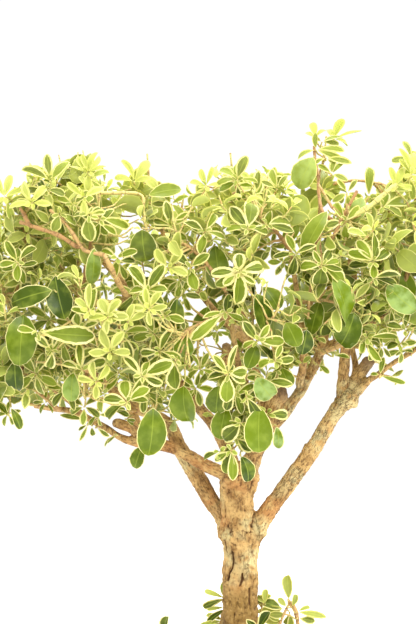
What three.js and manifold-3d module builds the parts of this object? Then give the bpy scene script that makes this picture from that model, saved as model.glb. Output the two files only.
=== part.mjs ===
// A serissa bonsai in its pot. Millimetres, +Z up.
// The pot stands on z = 0, and the origin is under the middle of the whole tree's spread.
// The tree is laid out about its own root point, and PLANTING moves it to its place in the pot.

import * as THREE from 'three';
import { mergeVertices } from 'three/addons/utils/BufferGeometryUtils.js';
import Module from 'manifold-3d';

const wasm = await Module();
wasm.setup();

// ---- Driving dimensions ----

const CLEARANCE = 0.3; // left between neighbouring pieces
const PLANTING = [15.5, -4]; // root point of the tree, from the middle of the pot

const POT = {
  length: 196, // along X, over the lip
  depth: 146, // along Y, over the lip
  height: 60,
  corner: 15,
  wall: 7,
  floor: 8, // thickness of the bottom
  lipOut: 4, // how far the lip stands out
  lipHeight: 9,
  draft: 0.9, // size of the foot line against the rim
  footHeight: 7,
  footLength: 34,
  footDepth: 28,
  footCorner: 6,
  footInset: 5,
};
const DRAIN = { radius: 8, spacing: 88 };
const SCREEN = { side: 24, thickness: 1.2 };
// The soil is level at the pot's wall and rises in a mound under the trunk.
const SOIL = { rim: 53, crown: 71, moundLength: 156, moundDepth: 108, moundSteps: 4, moundSides: 18 };

// Widths and places along a leaf are shares of its length. The lean is from its twig, in radians.
const LEAF = { length: [11, 20], width: 0.5, widest: 0.45, thickness: 1, lean: 1 };
const TWIG = { base: 1.1, tip: 0.8, joints: [0, 0.3, 0.65, 1] };
// A shoot's forward part is against its sideways part of 1, and its length is a share of the spray's reach.
const SHOOT = { count: 3, attempts: 6, forward: [0.2, 0.9], length: [0.55, 0.75], turn: 0.25 };
const STEM_RADIUS = 1.4;
const BARE_TO = 190; // height up to which limbs carry no leaves

const COLOURS = {
  stoneware: 0x6b4a3a,
  soil: 0x4a3b2c,
  screen: 0x2b2b2b,
  bark: 0xc9a36c,
  leaf: 0x86a034,
  leafPale: 0xc3cf6a,
};

// ---- Woody frame: one line of [x, y, z, radius] points for each limb or branch ----

const WOOD = {
  trunk: {
    sides: 10,
    steps: 12,
    points: [[0, 0, 44, 12.4], [0, 0, 66, 13.5], [-0.4, 0, 78, 12], [-0.4, 0, 90, 10.6], [0.1, 0, 98, 9.9],
      [0.1, 0, 108, 9.9], [0.1, 0, 120, 9.7], [0.5, 0, 128, 9.5], [0.3, 0, 140, 10.6], [-1.2, 0, 151, 9.2],
      [-1.4, 0, 160, 9.1], [-0.8, 0, 170, 10.4], [0.5, 0, 177, 7.5]],
  },
  leader: {
    sides: 7,
    steps: 5,
    points: [[3, 0, 164, 6.5], [6, 1, 178, 5], [13.5, 2, 196, 4.6], [20, 3, 212, 4.2], [23, 3, 218, 3.9]],
  },
  leaderBranch: {
    sides: 5,
    steps: 9,
    points: [[17, 3, 198, 3.4], [25.6, 4, 206, 3], [29.8, 5, 212.6, 2.8], [34.2, 6, 218.6, 2.9],
      [37, 7, 224, 2.9], [43.2, 8, 235, 2.7], [45.4, 8, 242, 2.5], [48, 6, 256, 2.3], [44, 4, 280, 2.1], [43, 2, 305, 1.8], [43, 0, 330, 1.4]],
  },
  leaderBranchRight: {
    sides: 4,
    steps: 4,
    points: [[45, 8, 240, 2.5], [52, 10, 243.6, 2.3], [59, 14, 247.4, 2.1], [67, 20, 257, 1.8],
      [78, 28, 276, 1.6], [84, 32, 292, 1.3]],
  },
  rightLimb: {
    sides: 7,
    steps: 6,
    points: [[5, 0, 134, 6], [7.5, 0, 140, 5.8], [14, 0, 150, 4.9], [27.5, -2, 169, 4.6],
      [38.5, -4, 184.6, 4.4], [47, -6, 199.5, 4.2], [55, -7, 212, 4], [58, -8, 217, 3.6]],
  },
  rightUpright: {
    sides: 5,
    steps: 6,
    points: [[55, -7, 211, 3.3], [56, -9, 228, 3], [57, -12, 245, 2.6], [60, -20, 268, 2.2],
      [58, -28, 292, 1.9], [56, -30, 306, 1.6]],
  },
  rightStub: {
    sides: 6,
    steps: 2,
    points: [[57, -7, 214, 3.8], [64, -6, 226, 3.5], [70.4, -5, 235, 3.3]],
  },
  rightThin: {
    sides: 4,
    steps: 2,
    points: [[59, -4, 219, 1.7], [63.5, -0.5, 229.6, 1.8], [61.8, 1, 241, 1.6], [59, 4, 254, 1.3]],
  },
  rightBranch: {
    sides: 5,
    steps: 7,
    points: [[58, -8, 213, 3.2], [65, -9, 220, 2.5], [69.5, -10, 224.7, 2], [73, -11, 226.8, 1.7],
      [78.3, -12, 230.9, 1.4], [83.8, -13, 235, 1.3], [93.2, -14, 240.5, 1.2], [104, -12, 251, 1.2],
      [112, -8, 268, 1.1], [113, -4, 288, 1]],
  },
  leftLowerLimb: {
    sides: 7,
    steps: 7,
    points: [[-3, 3, 134, 6.5], [-6.5, 3.5, 141, 5.6], [-8.8, 4, 147.5, 4.9], [-15, 5, 156, 4.6],
      [-23.2, 7, 169.2, 4.6], [-34.5, 10, 188, 4.2], [-38.5, 12, 197, 3.7], [-48, 14, 204, 3.1],
      [-59, 14, 208, 2.8], [-66, 13, 217, 2.6]],
  },
  leftRise: {
    sides: 5,
    steps: 7,
    points: [[-64, 13, 213, 2.6], [-73, 11, 226, 2.5], [-71, 9, 248, 2.4], [-63, 6, 270, 2.3],
      [-73, 0, 288, 2], [-86, -6, 297, 1.7], [-98, -8, 312, 1.3]],
  },
  leftUpperLimb: {
    sides: 7,
    steps: 8,
    points: [[-4, -2, 171, 4.2], [-17.6, -4, 177, 3.5], [-37.4, -8, 188, 3.1], [-52, -11.5, 190.2, 2.5],
      [-60, -13.2, 192.2, 2.1], [-66.5, -14.5, 195, 1.85], [-71, -15.4, 198.4, 1.8],
      [-75.6, -16, 201, 1.8], [-81.7, -17, 204.4, 1.8], [-89.4, -19, 208.4, 1.6], [-101, -21, 210, 1.4],
      [-110, -22, 211.6, 1.2]],
  },
  leftStub: {
    sides: 6,
    steps: 2,
    points: [[-51, -11.5, 192.5, 2.4], [-57, -13.2, 197.6, 2.4], [-62.7, -15, 200.6, 2.5],
      [-66.6, -16.5, 202, 2.4]],
  },
  leftFront: {
    sides: 4,
    steps: 6,
    points: [[-54, -12, 193.5, 2.4], [-55.4, -13, 199.8, 2.3], [-60.2, -15, 211.3, 2.2],
      [-66.5, -17, 216.7, 2.1], [-71.8, -19, 222, 2], [-76.3, -24, 226.5, 1.9], [-82, -34, 239, 1.7],
      [-86, -44, 256, 1.5], [-82, -50, 272, 1.2]],
  },
  leftEdge: {
    sides: 4,
    steps: 4,
    points: [[-99, -20, 209.5, 1.4], [-108, -26, 226, 1.4], [-116, -31, 246, 1.3], [-118, -34, 270, 1.2],
      [-114, -34, 296, 1]],
  },
  leftBack: {
    sides: 5,
    steps: 5,
    points: [[-64, 13, 214, 2.2], [-78, 28, 228, 2], [-92, 42, 246, 1.8], [-98, 46, 272, 1.5],
      [-90, 44, 300, 1.2]],
  },
  backLeft: {
    sides: 6,
    steps: 7,
    points: [[-2, 4, 168, 5], [-7, 22, 184, 3.8], [-14.5, 34, 197, 3.5], [-24, 46, 207, 3.2],
      [-42, 62, 230, 2.6], [-54, 70, 256, 2.1], [-50, 64, 284, 1.7], [-42, 56, 304, 1.3]],
  },
  backRight: {
    sides: 6,
    steps: 6,
    points: [[2, 4, 166, 4.6], [12, 26, 190, 3.6], [20, 44, 214, 3.1], [34, 60, 240, 2.5],
      [52, 66, 266, 2], [58, 58, 290, 1.4]],
  },
  backUpright: {
    sides: 4,
    steps: 5,
    points: [[11, 24, 188, 2.6], [6, 42, 212, 2.3], [0, 56, 242, 2.1], [0, 62, 272, 1.8], [6, 56, 306, 1.3]],
  },
  centreFront: {
    sides: 5,
    steps: 6,
    points: [[9, 1, 183, 3.2], [6, -8, 196, 2.3], [3, -18, 208, 1.9], [0, -30, 226, 1.7],
      [-4, -40, 246, 1.5], [-8, -46, 272, 1.2]],
  },
  centreUpright: {
    sides: 5,
    steps: 7,
    points: [[14, 2, 197, 3.2], [12, 8, 214, 2.4], [7, 12, 240, 2], [1, 10, 268, 1.8], [-2, 6, 296, 1.6],
      [0, 0, 322, 1.3]],
  },
  centreLeft: {
    sides: 4,
    steps: 5,
    points: [[6, 12, 243, 2], [-10, 16, 258, 1.8], [-28, 14, 280, 1.6], [-42, 6, 304, 1.3],
      [-48, 0, 322, 1]],
  },
  rightFront: {
    sides: 4,
    steps: 4,
    points: [[57, -13, 246, 2.1], [70, -28, 256, 1.8], [82, -40, 272, 1.5], [88, -44, 290, 1.2]],
  },
  innerFront: {
    sides: 4,
    steps: 4,
    points: [[33, 5, 221, 2.3], [34, -12, 236, 2], [32, -30, 254, 1.7], [28, -44, 274, 1.4],
      [24, -48, 294, 1.1]],
  },
  rootLeft: {
    sides: 5,
    steps: 3,
    points: [[-4, 0, 74, 6], [-14, -4, 70, 4.6], [-26, -9, 66, 3.4], [-38, -16, 58, 2.4]],
  },
  rootRight: {
    sides: 5,
    steps: 3,
    points: [[4, -2, 74, 6], [15, -8, 70, 4.4], [27, -13, 65, 3.2], [37, -14, 57, 2.2]],
  },
  rootFront: {
    sides: 5,
    steps: 3,
    points: [[0, -5, 74, 5.5], [-3, -16, 69, 4], [-4, -27, 60, 2.6]],
  },
  rootBack: {
    sides: 5,
    steps: 3,
    points: [[1, 5, 74, 6], [5, 16, 70, 4.4], [8, 28, 65, 3.2], [9, 37, 57, 2.2]],
  },
};

// ---- Leafy branchlets: the middle of each, and how far its leaves reach ----

const SPRAYS = {
  left_front_low: [-120, -42, 226, 27],
  left_front_mid: [-122, -46, 270, 27],
  left_front_high: [-112, -40, 314, 27],
  left_inner_front_low: [-80, -56, 218, 26],
  left_inner_front_mid: [-76, -62, 262, 27],
  left_inner_front_high: [-74, -50, 310, 28],
  centre_left_front_low: [-46, -42, 208, 26],
  centre_left_front_mid: [-32, -62, 250, 27],
  centre_left_front_high: [-32, -56, 298, 27],
  centre_front_low: [6, -40, 210, 23],
  centre_front_mid: [14, -60, 258, 27],
  centre_front_high: [10, -52, 308, 28],
  right_inner_front_mid: [54, -52, 264, 26],
  right_inner_front_high: [54, -50, 308, 27],
  right_front_mid: [94, -44, 258, 25],
  right_front_high: [92, -42, 304, 27],
  left_edge_low: [-126, 4, 244, 25],
  left_edge_high: [-124, 4, 296, 27],
  left_top: [-92, -2, 334, 26],
  left_low: [-88, 4, 240, 24],
  centre_left_top: [-50, -4, 336, 27],
  centre_left_low: [-44, 6, 242, 24],
  centre_top: [-4, -6, 336, 28],
  crown_top: [46, -4, 346, 26],
  right_inner_low: [34, 20, 252, 22],
  right_top: [84, -4, 330, 26],
  right_low: [80, 6, 254, 22],
  right_edge_low: [108, -2, 262, 22],
  right_edge_high: [110, 2, 306, 24],
  back_left_low: [-104, 46, 236, 26],
  back_left_mid: [-102, 50, 284, 27],
  back_left_high: [-80, 44, 322, 27],
  back_centre_left_low: [-56, 52, 232, 26],
  back_centre_left_mid: [-56, 64, 276, 27],
  back_centre_left_high: [-34, 52, 320, 27],
  back_centre_low: [-8, 56, 238, 26],
  back_centre_mid: [-4, 68, 280, 27],
  back_centre_high: [12, 48, 326, 27],
  back_right_inner_low: [38, 56, 250, 25],
  back_right_inner_mid: [46, 62, 294, 26],
  back_right_low: [82, 44, 266, 25],
  back_right_high: [80, 44, 308, 26],
};

// Young shoots from the foot of the trunk: where each starts, its middle and how far it reaches.
const SUCKERS = {
  left_sucker: { start: [-8, 4, 78], middle: [-17, 5, 97, 11] },
  far_left_sucker: { start: [-34, -13, 61], middle: [-41, -4, 84, 10] },
  right_sucker: { start: [8, 3, 78], middle: [18, 2, 97, 10] },
  far_right_sucker: { start: [18, -7, 68], middle: [29, -5, 98, 12] },
};

// ---- Small helpers ----

// The same draws on every run.
function seededRandom(seed) {
  let state = seed;
  return () => {
    state = (state + 0x6d2b79f5) | 0;
    let mixed = Math.imul(state ^ (state >>> 15), 1 | state);
    mixed = (mixed + Math.imul(mixed ^ (mixed >>> 7), 61 | mixed)) ^ mixed;
    return ((mixed ^ (mixed >>> 14)) >>> 0) / 4294967296;
  };
}

const between = ([low, high], share) => THREE.MathUtils.lerp(low, high, share);

function toSolid(geometry) {
  const plain = geometry.clone();
  plain.deleteAttribute('normal');
  plain.deleteAttribute('uv');
  const merged = mergeVertices(plain, 1e-4);
  return new wasm.Manifold(new wasm.Mesh({
    numProp: 3,
    vertProperties: new Float32Array(merged.attributes.position.array),
    triVerts: new Uint32Array(merged.index.array),
  }));
}

function toGeometry(solid) {
  const { vertProperties, triVerts } = solid.getMesh();
  const geometry = new THREE.BufferGeometry();
  geometry.setAttribute('position', new THREE.BufferAttribute(vertProperties, 3));
  geometry.setIndex(new THREE.BufferAttribute(triVerts, 1));
  geometry.computeVertexNormals();
  return geometry;
}

const union = (solids) => solids.reduce((whole, next) => whole.add(next));

// What stays in one piece after a cut: its largest body.
function largestBody(solid) {
  const bodies = solid.decompose();
  return bodies.reduce((best, next) => (next.volume() > best.volume() ? next : best));
}

function addPiece(group, name, solid, colour, roughness) {
  const material = new THREE.MeshStandardMaterial({ color: colour, roughness, metalness: 0 });
  const mesh = new THREE.Mesh(toGeometry(solid), material);
  mesh.name = name;
  group.add(mesh);
}

function circle(radius, sides) {
  const shape = new THREE.Shape();
  for (let i = 0; i < sides; i += 1) {
    const angle = (i / sides) * 2 * Math.PI;
    const [x, y] = [radius * Math.cos(angle), radius * Math.sin(angle)];
    if (i === 0) shape.moveTo(x, y);
    else shape.lineTo(x, y);
  }
  shape.closePath();
  return shape;
}

// A round bar that follows points of [x, y, z, radius], grown all round by the given amount.
function taperedBar({ points, sides, steps }, grow) {
  const path = new THREE.CatmullRomCurve3(points.map(([x, y, z]) => new THREE.Vector3(x, y, z)));
  const options = { extrudePath: path, steps, bevelEnabled: false };
  const geometry = new THREE.ExtrudeGeometry(circle(1, sides), options);
  const centres = path.getSpacedPoints(steps);
  const radii = centres.map((_, ring) => {
    const place = path.getUtoTmapping(ring / steps) * (points.length - 1);
    const low = Math.min(Math.floor(place), points.length - 2);
    return THREE.MathUtils.lerp(points[low][3], points[low + 1][3], place - low) + grow;
  });
  const position = geometry.attributes.position;
  const corner = new THREE.Vector3();
  for (let i = 0; i < position.count; i += 1) {
    corner.fromBufferAttribute(position, i);
    const gaps = centres.map((centre) => centre.distanceTo(corner));
    const ring = gaps.indexOf(Math.min(...gaps));
    corner.sub(centres[ring]).multiplyScalar(radii[ring]).add(centres[ring]);
    position.setXYZ(i, corner.x, corner.y, corner.z);
  }
  return toSolid(geometry);
}

// ---- Woody frame ----

const buildWood = (grow) => union(Object.values(WOOD).map((branch) => taperedBar(branch, grow)));

// Leafy stems start only from wood above the bare limbs.
function nearestOnWood(target) {
  let best = null;
  for (const { points } of Object.values(WOOD)) {
    for (let i = 1; i < points.length; i += 1) {
      const line = new THREE.Line3(new THREE.Vector3(...points[i - 1]), new THREE.Vector3(...points[i]));
      const place = line.closestPointToPoint(target, true, new THREE.Vector3());
      const gap = place.distanceTo(target);
      if (place.z > BARE_TO && (!best || gap < best.gap)) best = { place, gap };
    }
  }
  return best.place;
}

// ---- Leafy branchlets ----

// Unit vectors square to the given one, turning anticlockwise about it.
function sideAxes(axis) {
  const helper = Math.abs(axis.z) > 0.9 ? new THREE.Vector3(1, 0, 0) : new THREE.Vector3(0, 0, 1);
  const first = new THREE.Vector3().crossVectors(axis, helper).normalize();
  return [first, new THREE.Vector3().crossVectors(axis, first)];
}

// A straight three-sided twig, bare at its foot, with two pairs of leaves above that and one at its end.
// A leaf is a flat blade that widens from a face of the twig to its middle and runs to a point.
function leafyShoot(root, tip, lengths, grow) {
  const corners = [];
  const faces = [];
  const axis = new THREE.Vector3().subVectors(tip, root).normalize();
  const [right, up] = sideAxes(axis);
  const addCorner = (place) => corners.push(place.clone()) - 1;
  const addFan = (ring, apex) => ring.forEach((corner, i) => {
    faces.push([corner, ring[(i + 1) % ring.length], apex]);
  });
  const addBand = (ring, next) => ring.forEach((corner, i) => {
    const after = (i + 1) % ring.length;
    faces.push([corner, ring[after], next[after]], [corner, next[after], next[i]]);
  });
  const addLeaf = (foot, along, across, length) => {
    const normal = new THREE.Vector3().crossVectors(along, across);
    const middle = new THREE.Vector3();
    foot.forEach((corner) => middle.addScaledVector(corners[corner], 1 / foot.length));
    const apex = middle.clone().addScaledVector(along, length + grow);
    middle.addScaledVector(along, length * LEAF.widest);
    const halfWidth = length * LEAF.width / 2 + grow;
    const halfThickness = LEAF.thickness / 2 + grow;
    const outline = foot.length === 4 ? [[-1, -1], [1, -1], [1, 1], [-1, 1]] : [[-1, -1], [1, -1], [0, 1]];
    const ring = outline.map(([x, y]) => addCorner(
      middle.clone().addScaledVector(across, x * halfWidth).addScaledVector(normal, y * halfThickness),
    ));
    addBand(foot, ring);
    addFan(ring, addCorner(apex));
  };

  const rings = TWIG.joints.map((share, joint) => [0, 1, 2].map((corner) => {
    const angle = (corner / 3 + joint / 12) * 2 * Math.PI;
    const radius = THREE.MathUtils.lerp(TWIG.base, TWIG.tip, share) + grow;
    return addCorner(new THREE.Vector3().lerpVectors(root, tip, share)
      .addScaledVector(right, radius * Math.cos(angle)).addScaledVector(up, radius * Math.sin(angle)));
  }));
  faces.push([...rings[0]].reverse());
  addBand(rings[0], rings[1]);
  for (const joint of [1, 2]) {
    for (const side of [0, 1, 2]) {
      const next = (side + 1) % 3;
      const face = [rings[joint][side], rings[joint][next], rings[joint + 1][next], rings[joint + 1][side]];
      if (side === joint) {
        faces.push([face[0], face[1], face[2]], [face[0], face[2], face[3]]);
        continue;
      }
      const across = new THREE.Vector3().subVectors(corners[face[1]], corners[face[0]]).normalize();
      const outward = new THREE.Vector3().crossVectors(across, axis).normalize();
      const along = outward.multiplyScalar(Math.sin(LEAF.lean)).addScaledVector(axis, Math.cos(LEAF.lean));
      const length = lengths[2 * joint - 2 + (side > joint ? 1 : 0)];
      addLeaf(face, along, across.crossVectors(axis, along).normalize(), length);
    }
  }
  const [first, second] = rings[3];
  const across = new THREE.Vector3().subVectors(corners[second], corners[first]).normalize();
  addLeaf(rings[3], axis, across, lengths[4]);

  const geometry = new THREE.BufferGeometry().setFromPoints(corners);
  return toSolid(geometry.setIndex(faces.flat()));
}

function stemSolid(start, end, grow) {
  const run = new THREE.Vector3().subVectors(end, start);
  const bar = new THREE.CylinderGeometry(TWIG.base + grow, STEM_RADIUS + grow, run.length(), 4);
  const turn = new THREE.Quaternion().setFromUnitVectors(new THREE.Vector3(0, 1, 0), run.clone().normalize());
  const middle = new THREE.Vector3().addVectors(start, end).multiplyScalar(0.5);
  return toSolid(bar.applyQuaternion(turn).translate(middle.x, middle.y, middle.z));
}

// Adds leafy shoots to a stem. A shoot that would touch a neighbour is drawn again, or left out.
function buildSpray({ start, middle, reach, stem }, random, neighbours) {
  const box = new THREE.Box3().setFromCenterAndSize(middle, new THREE.Vector3(4, 4, 4).multiplyScalar(reach));
  const near = neighbours.filter((other) => {
    const { min, max } = other.boundingBox();
    return box.intersectsBox(new THREE.Box3(new THREE.Vector3(...min), new THREE.Vector3(...max)));
  });
  const isClear = (solid) => near.every((other) => solid.intersect(other).isEmpty());
  const parts = [stem];
  const outward = new THREE.Vector3().subVectors(middle, start).normalize();
  const [right, up] = sideAxes(outward);
  for (let shoot = 0; shoot < SHOOT.count; shoot += 1) {
    for (let attempt = 0; attempt < SHOOT.attempts; attempt += 1) {
      const turn = (shoot / SHOOT.count + SHOOT.turn * random()) * 2 * Math.PI;
      const axis = outward.clone().multiplyScalar(between(SHOOT.forward, random()))
        .addScaledVector(right, Math.cos(turn)).addScaledVector(up, Math.sin(turn)).normalize();
      const lengths = [0, 1, 2, 3, 4].map(() => between(LEAF.length, random() ** 2));
      const root = middle.clone().addScaledVector(outward, -1 - 2 * shoot);
      const tip = root.clone().addScaledVector(axis, reach * between(SHOOT.length, random()));
      if (!isClear(leafyShoot(root, tip, lengths, CLEARANCE))) continue;
      parts.push(leafyShoot(root, tip, lengths, 0));
      break;
    }
  }
  return union(parts);
}

// ---- Pot, soil and screens ----

function roundedBlock(length, depth, corner, bottom, top, bottomScale = 1) {
  const [x, y] = [length / 2, depth / 2];
  const shape = new THREE.Shape();
  shape.moveTo(-x + corner, -y);
  shape.lineTo(x - corner, -y);
  shape.absarc(x - corner, -y + corner, corner, -Math.PI / 2, 0);
  shape.lineTo(x, y - corner);
  shape.absarc(x - corner, y - corner, corner, 0, Math.PI / 2);
  shape.lineTo(-x + corner, y);
  shape.absarc(-x + corner, y - corner, corner, Math.PI / 2, Math.PI);
  shape.lineTo(-x, -y + corner);
  shape.absarc(-x + corner, -y + corner, corner, Math.PI, 1.5 * Math.PI);
  const options = { depth: top - bottom, bevelEnabled: false, curveSegments: 3 };
  const geometry = new THREE.ExtrudeGeometry(shape, options);
  const position = geometry.attributes.position;
  for (let i = 0; i < position.count; i += 1) {
    const share = position.getZ(i) / (top - bottom);
    const scale = THREE.MathUtils.lerp(bottomScale, 1, share);
    position.setXYZ(i, position.getX(i) * scale, position.getY(i) * scale, position.getZ(i) + bottom);
  }
  return toSolid(geometry);
}

function buildPot() {
  const bodyLength = POT.length - 2 * POT.lipOut;
  const bodyDepth = POT.depth - 2 * POT.lipOut;
  const floorTop = POT.footHeight + POT.floor;
  const body = roundedBlock(bodyLength, bodyDepth, POT.corner, POT.footHeight, POT.height, POT.draft);
  const lipBottom = POT.height - POT.lipHeight;
  const lip = roundedBlock(POT.length, POT.depth, POT.corner + POT.lipOut, lipBottom, POT.height);
  const inner = roundedBlock(bodyLength - 2 * POT.wall, bodyDepth - 2 * POT.wall, POT.corner - POT.wall,
    floorTop, POT.height + 1, POT.draft);
  const footX = bodyLength * POT.draft / 2 - POT.footInset - POT.footLength / 2;
  const footY = bodyDepth * POT.draft / 2 - POT.footInset - POT.footDepth / 2;
  const foot = roundedBlock(POT.footLength, POT.footDepth, POT.footCorner, 0, POT.footHeight + 1);
  const corners = [[-1, -1], [1, -1], [1, 1], [-1, 1]];
  const feet = corners.map(([sx, sy]) => foot.translate([sx * footX, sy * footY, 0]));
  const holes = [-1, 1].map((side) => {
    const hole = new THREE.CylinderGeometry(DRAIN.radius, DRAIN.radius, 4 * POT.floor, 12);
    return toSolid(hole.rotateX(Math.PI / 2).translate(side * DRAIN.spacing / 2, 0, floorTop));
  });
  return union([body, lip, ...feet]).subtract(inner).subtract(union(holes));
}

function buildScreen(side) {
  const bottom = POT.footHeight + POT.floor + CLEARANCE;
  const plate = new THREE.BoxGeometry(SCREEN.side, SCREEN.side, SCREEN.thickness);
  return toSolid(plate.translate(side * DRAIN.spacing / 2, 0, bottom + SCREEN.thickness / 2));
}

function buildSoil(woodSpace) {
  const length = POT.length - 2 * POT.lipOut - 2 * POT.wall - 2 * CLEARANCE;
  const depth = POT.depth - 2 * POT.lipOut - 2 * POT.wall - 2 * CLEARANCE;
  const bottom = POT.footHeight + POT.floor + CLEARANCE;
  const share = (SOIL.rim - bottom) / (POT.height + 1 - bottom);
  const topScale = THREE.MathUtils.lerp(POT.draft, 1, share);
  const block = roundedBlock(length * topScale, depth * topScale, POT.corner - POT.wall, bottom, SOIL.rim,
    POT.draft / topScale);
  const moundProfile = [];
  for (let i = 0; i < SOIL.moundSteps; i += 1) {
    const out = i / SOIL.moundSteps;
    const rise = (SOIL.crown - SOIL.rim) * (0.5 + 0.5 * Math.cos(out * Math.PI));
    moundProfile.unshift(new THREE.Vector2(out * SOIL.moundLength / 2, rise));
  }
  const profile = [new THREE.Vector2(0, -1), new THREE.Vector2(SOIL.moundLength / 2, -1), ...moundProfile];
  const mound = toSolid(new THREE.LatheGeometry(profile, SOIL.moundSides).rotateX(Math.PI / 2)
    .scale(1, SOIL.moundDepth / SOIL.moundLength, 1).translate(0, 0, SOIL.rim));
  const pockets = [-1, 1].map((side) => {
    const space = new THREE.BoxGeometry(SCREEN.side + 2 * CLEARANCE, SCREEN.side + 2 * CLEARANCE,
      2 * (SCREEN.thickness + 2 * CLEARANCE));
    return toSolid(space.translate(side * DRAIN.spacing / 2, 0, bottom - CLEARANCE));
  });
  return block.add(mound).subtract(union(pockets)).subtract(woodSpace);
}

// ---- The whole plant ----

const bonsai = new THREE.Group();
const planted = (solid) => solid.translate([PLANTING[0], PLANTING[1], 0]);

const wood = buildWood(0);
const woodSpace = buildWood(CLEARANCE);
const soil = buildSoil(planted(woodSpace));

addPiece(bonsai, 'pot', buildPot(), COLOURS.stoneware, 0.75);
addPiece(bonsai, 'drain_screen_left', buildScreen(-1), COLOURS.screen, 0.6);
addPiece(bonsai, 'drain_screen_right', buildScreen(1), COLOURS.screen, 0.6);
addPiece(bonsai, 'soil', soil, COLOURS.soil, 1);
addPiece(bonsai, 'woody_frame', planted(wood), COLOURS.bark, 0.85);

const soilSpace = soil.translate([-PLANTING[0], -PLANTING[1], CLEARANCE]);
const sprays = [];
for (const [name, [x, y, z, reach]] of Object.entries(SPRAYS)) {
  const middle = new THREE.Vector3(x, y, z);
  sprays.push({ name: `spray_${name}`, colour: COLOURS.leaf, start: nearestOnWood(middle), middle, reach });
}
for (const [name, { start, middle: [x, y, z, reach] }] of Object.entries(SUCKERS)) {
  const middle = new THREE.Vector3(x, y, z);
  sprays.push({ name, colour: COLOURS.leafPale, start: new THREE.Vector3(...start), middle, reach });
}

// Every stem is placed before the first shoot, so that shoots keep clear of all of them.
const random = seededRandom(7);
const stemSpaces = [woodSpace, soilSpace];
for (const spray of sprays) {
  spray.stem = largestBody(stemSolid(spray.start, spray.middle, 0).subtract(union(stemSpaces)));
  spray.body = spray.stem;
  stemSpaces.push(stemSolid(spray.start, spray.middle, CLEARANCE));
}
for (const spray of sprays) {
  const others = sprays.filter((other) => other !== spray).map((other) => other.body);
  spray.body = buildSpray(spray, random, [woodSpace, soilSpace, ...others]);
  addPiece(bonsai, spray.name, planted(spray.body), spray.colour, 0.5);
}

export default bonsai;
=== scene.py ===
"""A serissa bonsai in an unglazed stoneware pot: bark, leafy branchlets, suckers, soil and a studio.

Sizes are in millimetres unless a name or comment says otherwise, and turn to metres as a mesh is made.
"""

import math
from functools import partial
from typing import NamedTuple

import bmesh
import bpy
import numpy as np
from bpy.props import FloatProperty, FloatVectorProperty, IntProperty, PointerProperty
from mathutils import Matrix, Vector, noise
from mathutils.bvhtree import BVHTree


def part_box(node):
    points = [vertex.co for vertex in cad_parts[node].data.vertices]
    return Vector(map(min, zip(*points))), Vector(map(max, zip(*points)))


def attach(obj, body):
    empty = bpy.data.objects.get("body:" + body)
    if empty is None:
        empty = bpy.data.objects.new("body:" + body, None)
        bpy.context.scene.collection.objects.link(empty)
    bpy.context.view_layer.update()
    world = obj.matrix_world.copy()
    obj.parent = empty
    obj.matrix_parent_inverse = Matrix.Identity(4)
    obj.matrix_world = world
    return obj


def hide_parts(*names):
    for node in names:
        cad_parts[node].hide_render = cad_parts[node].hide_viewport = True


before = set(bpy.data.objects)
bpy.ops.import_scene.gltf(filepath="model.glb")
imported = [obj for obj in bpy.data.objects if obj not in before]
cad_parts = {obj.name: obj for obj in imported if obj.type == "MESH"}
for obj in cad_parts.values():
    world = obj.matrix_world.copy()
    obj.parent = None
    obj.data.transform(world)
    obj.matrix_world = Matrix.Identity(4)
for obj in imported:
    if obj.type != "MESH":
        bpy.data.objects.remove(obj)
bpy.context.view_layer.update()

bl_info = {
    "name": "Serissa bonsai",
    "version": (1, 0, 0),
    "blender": (4, 5, 0),
    "location": "View3D > Sidebar > Serissa",
    "description": "Builds a variegated serissa bonsai in its pot, piece by piece",
    "category": "Add Mesh",
}

MM = 0.001
UP = np.array((0.0, 0.0, 1.0))
TO_VIEWER = np.array((0.0, -1.0, 0.0))

# ---- The view ----

PICTURE_WIDTH = 416
PICTURE_HEIGHT = 624
EYE = np.array((-17.6, -700.0, 261.6))  # from the root of the tree
MM_PER_PIXEL = 0.55  # at the trunk
PLANTING = np.array((15.5, -4.0, 0.0))  # root of the tree from the middle of the pot
SENSOR = 36.0

# ---- Wood: points of (x, y, z, radius) from the root of the tree ----

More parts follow.
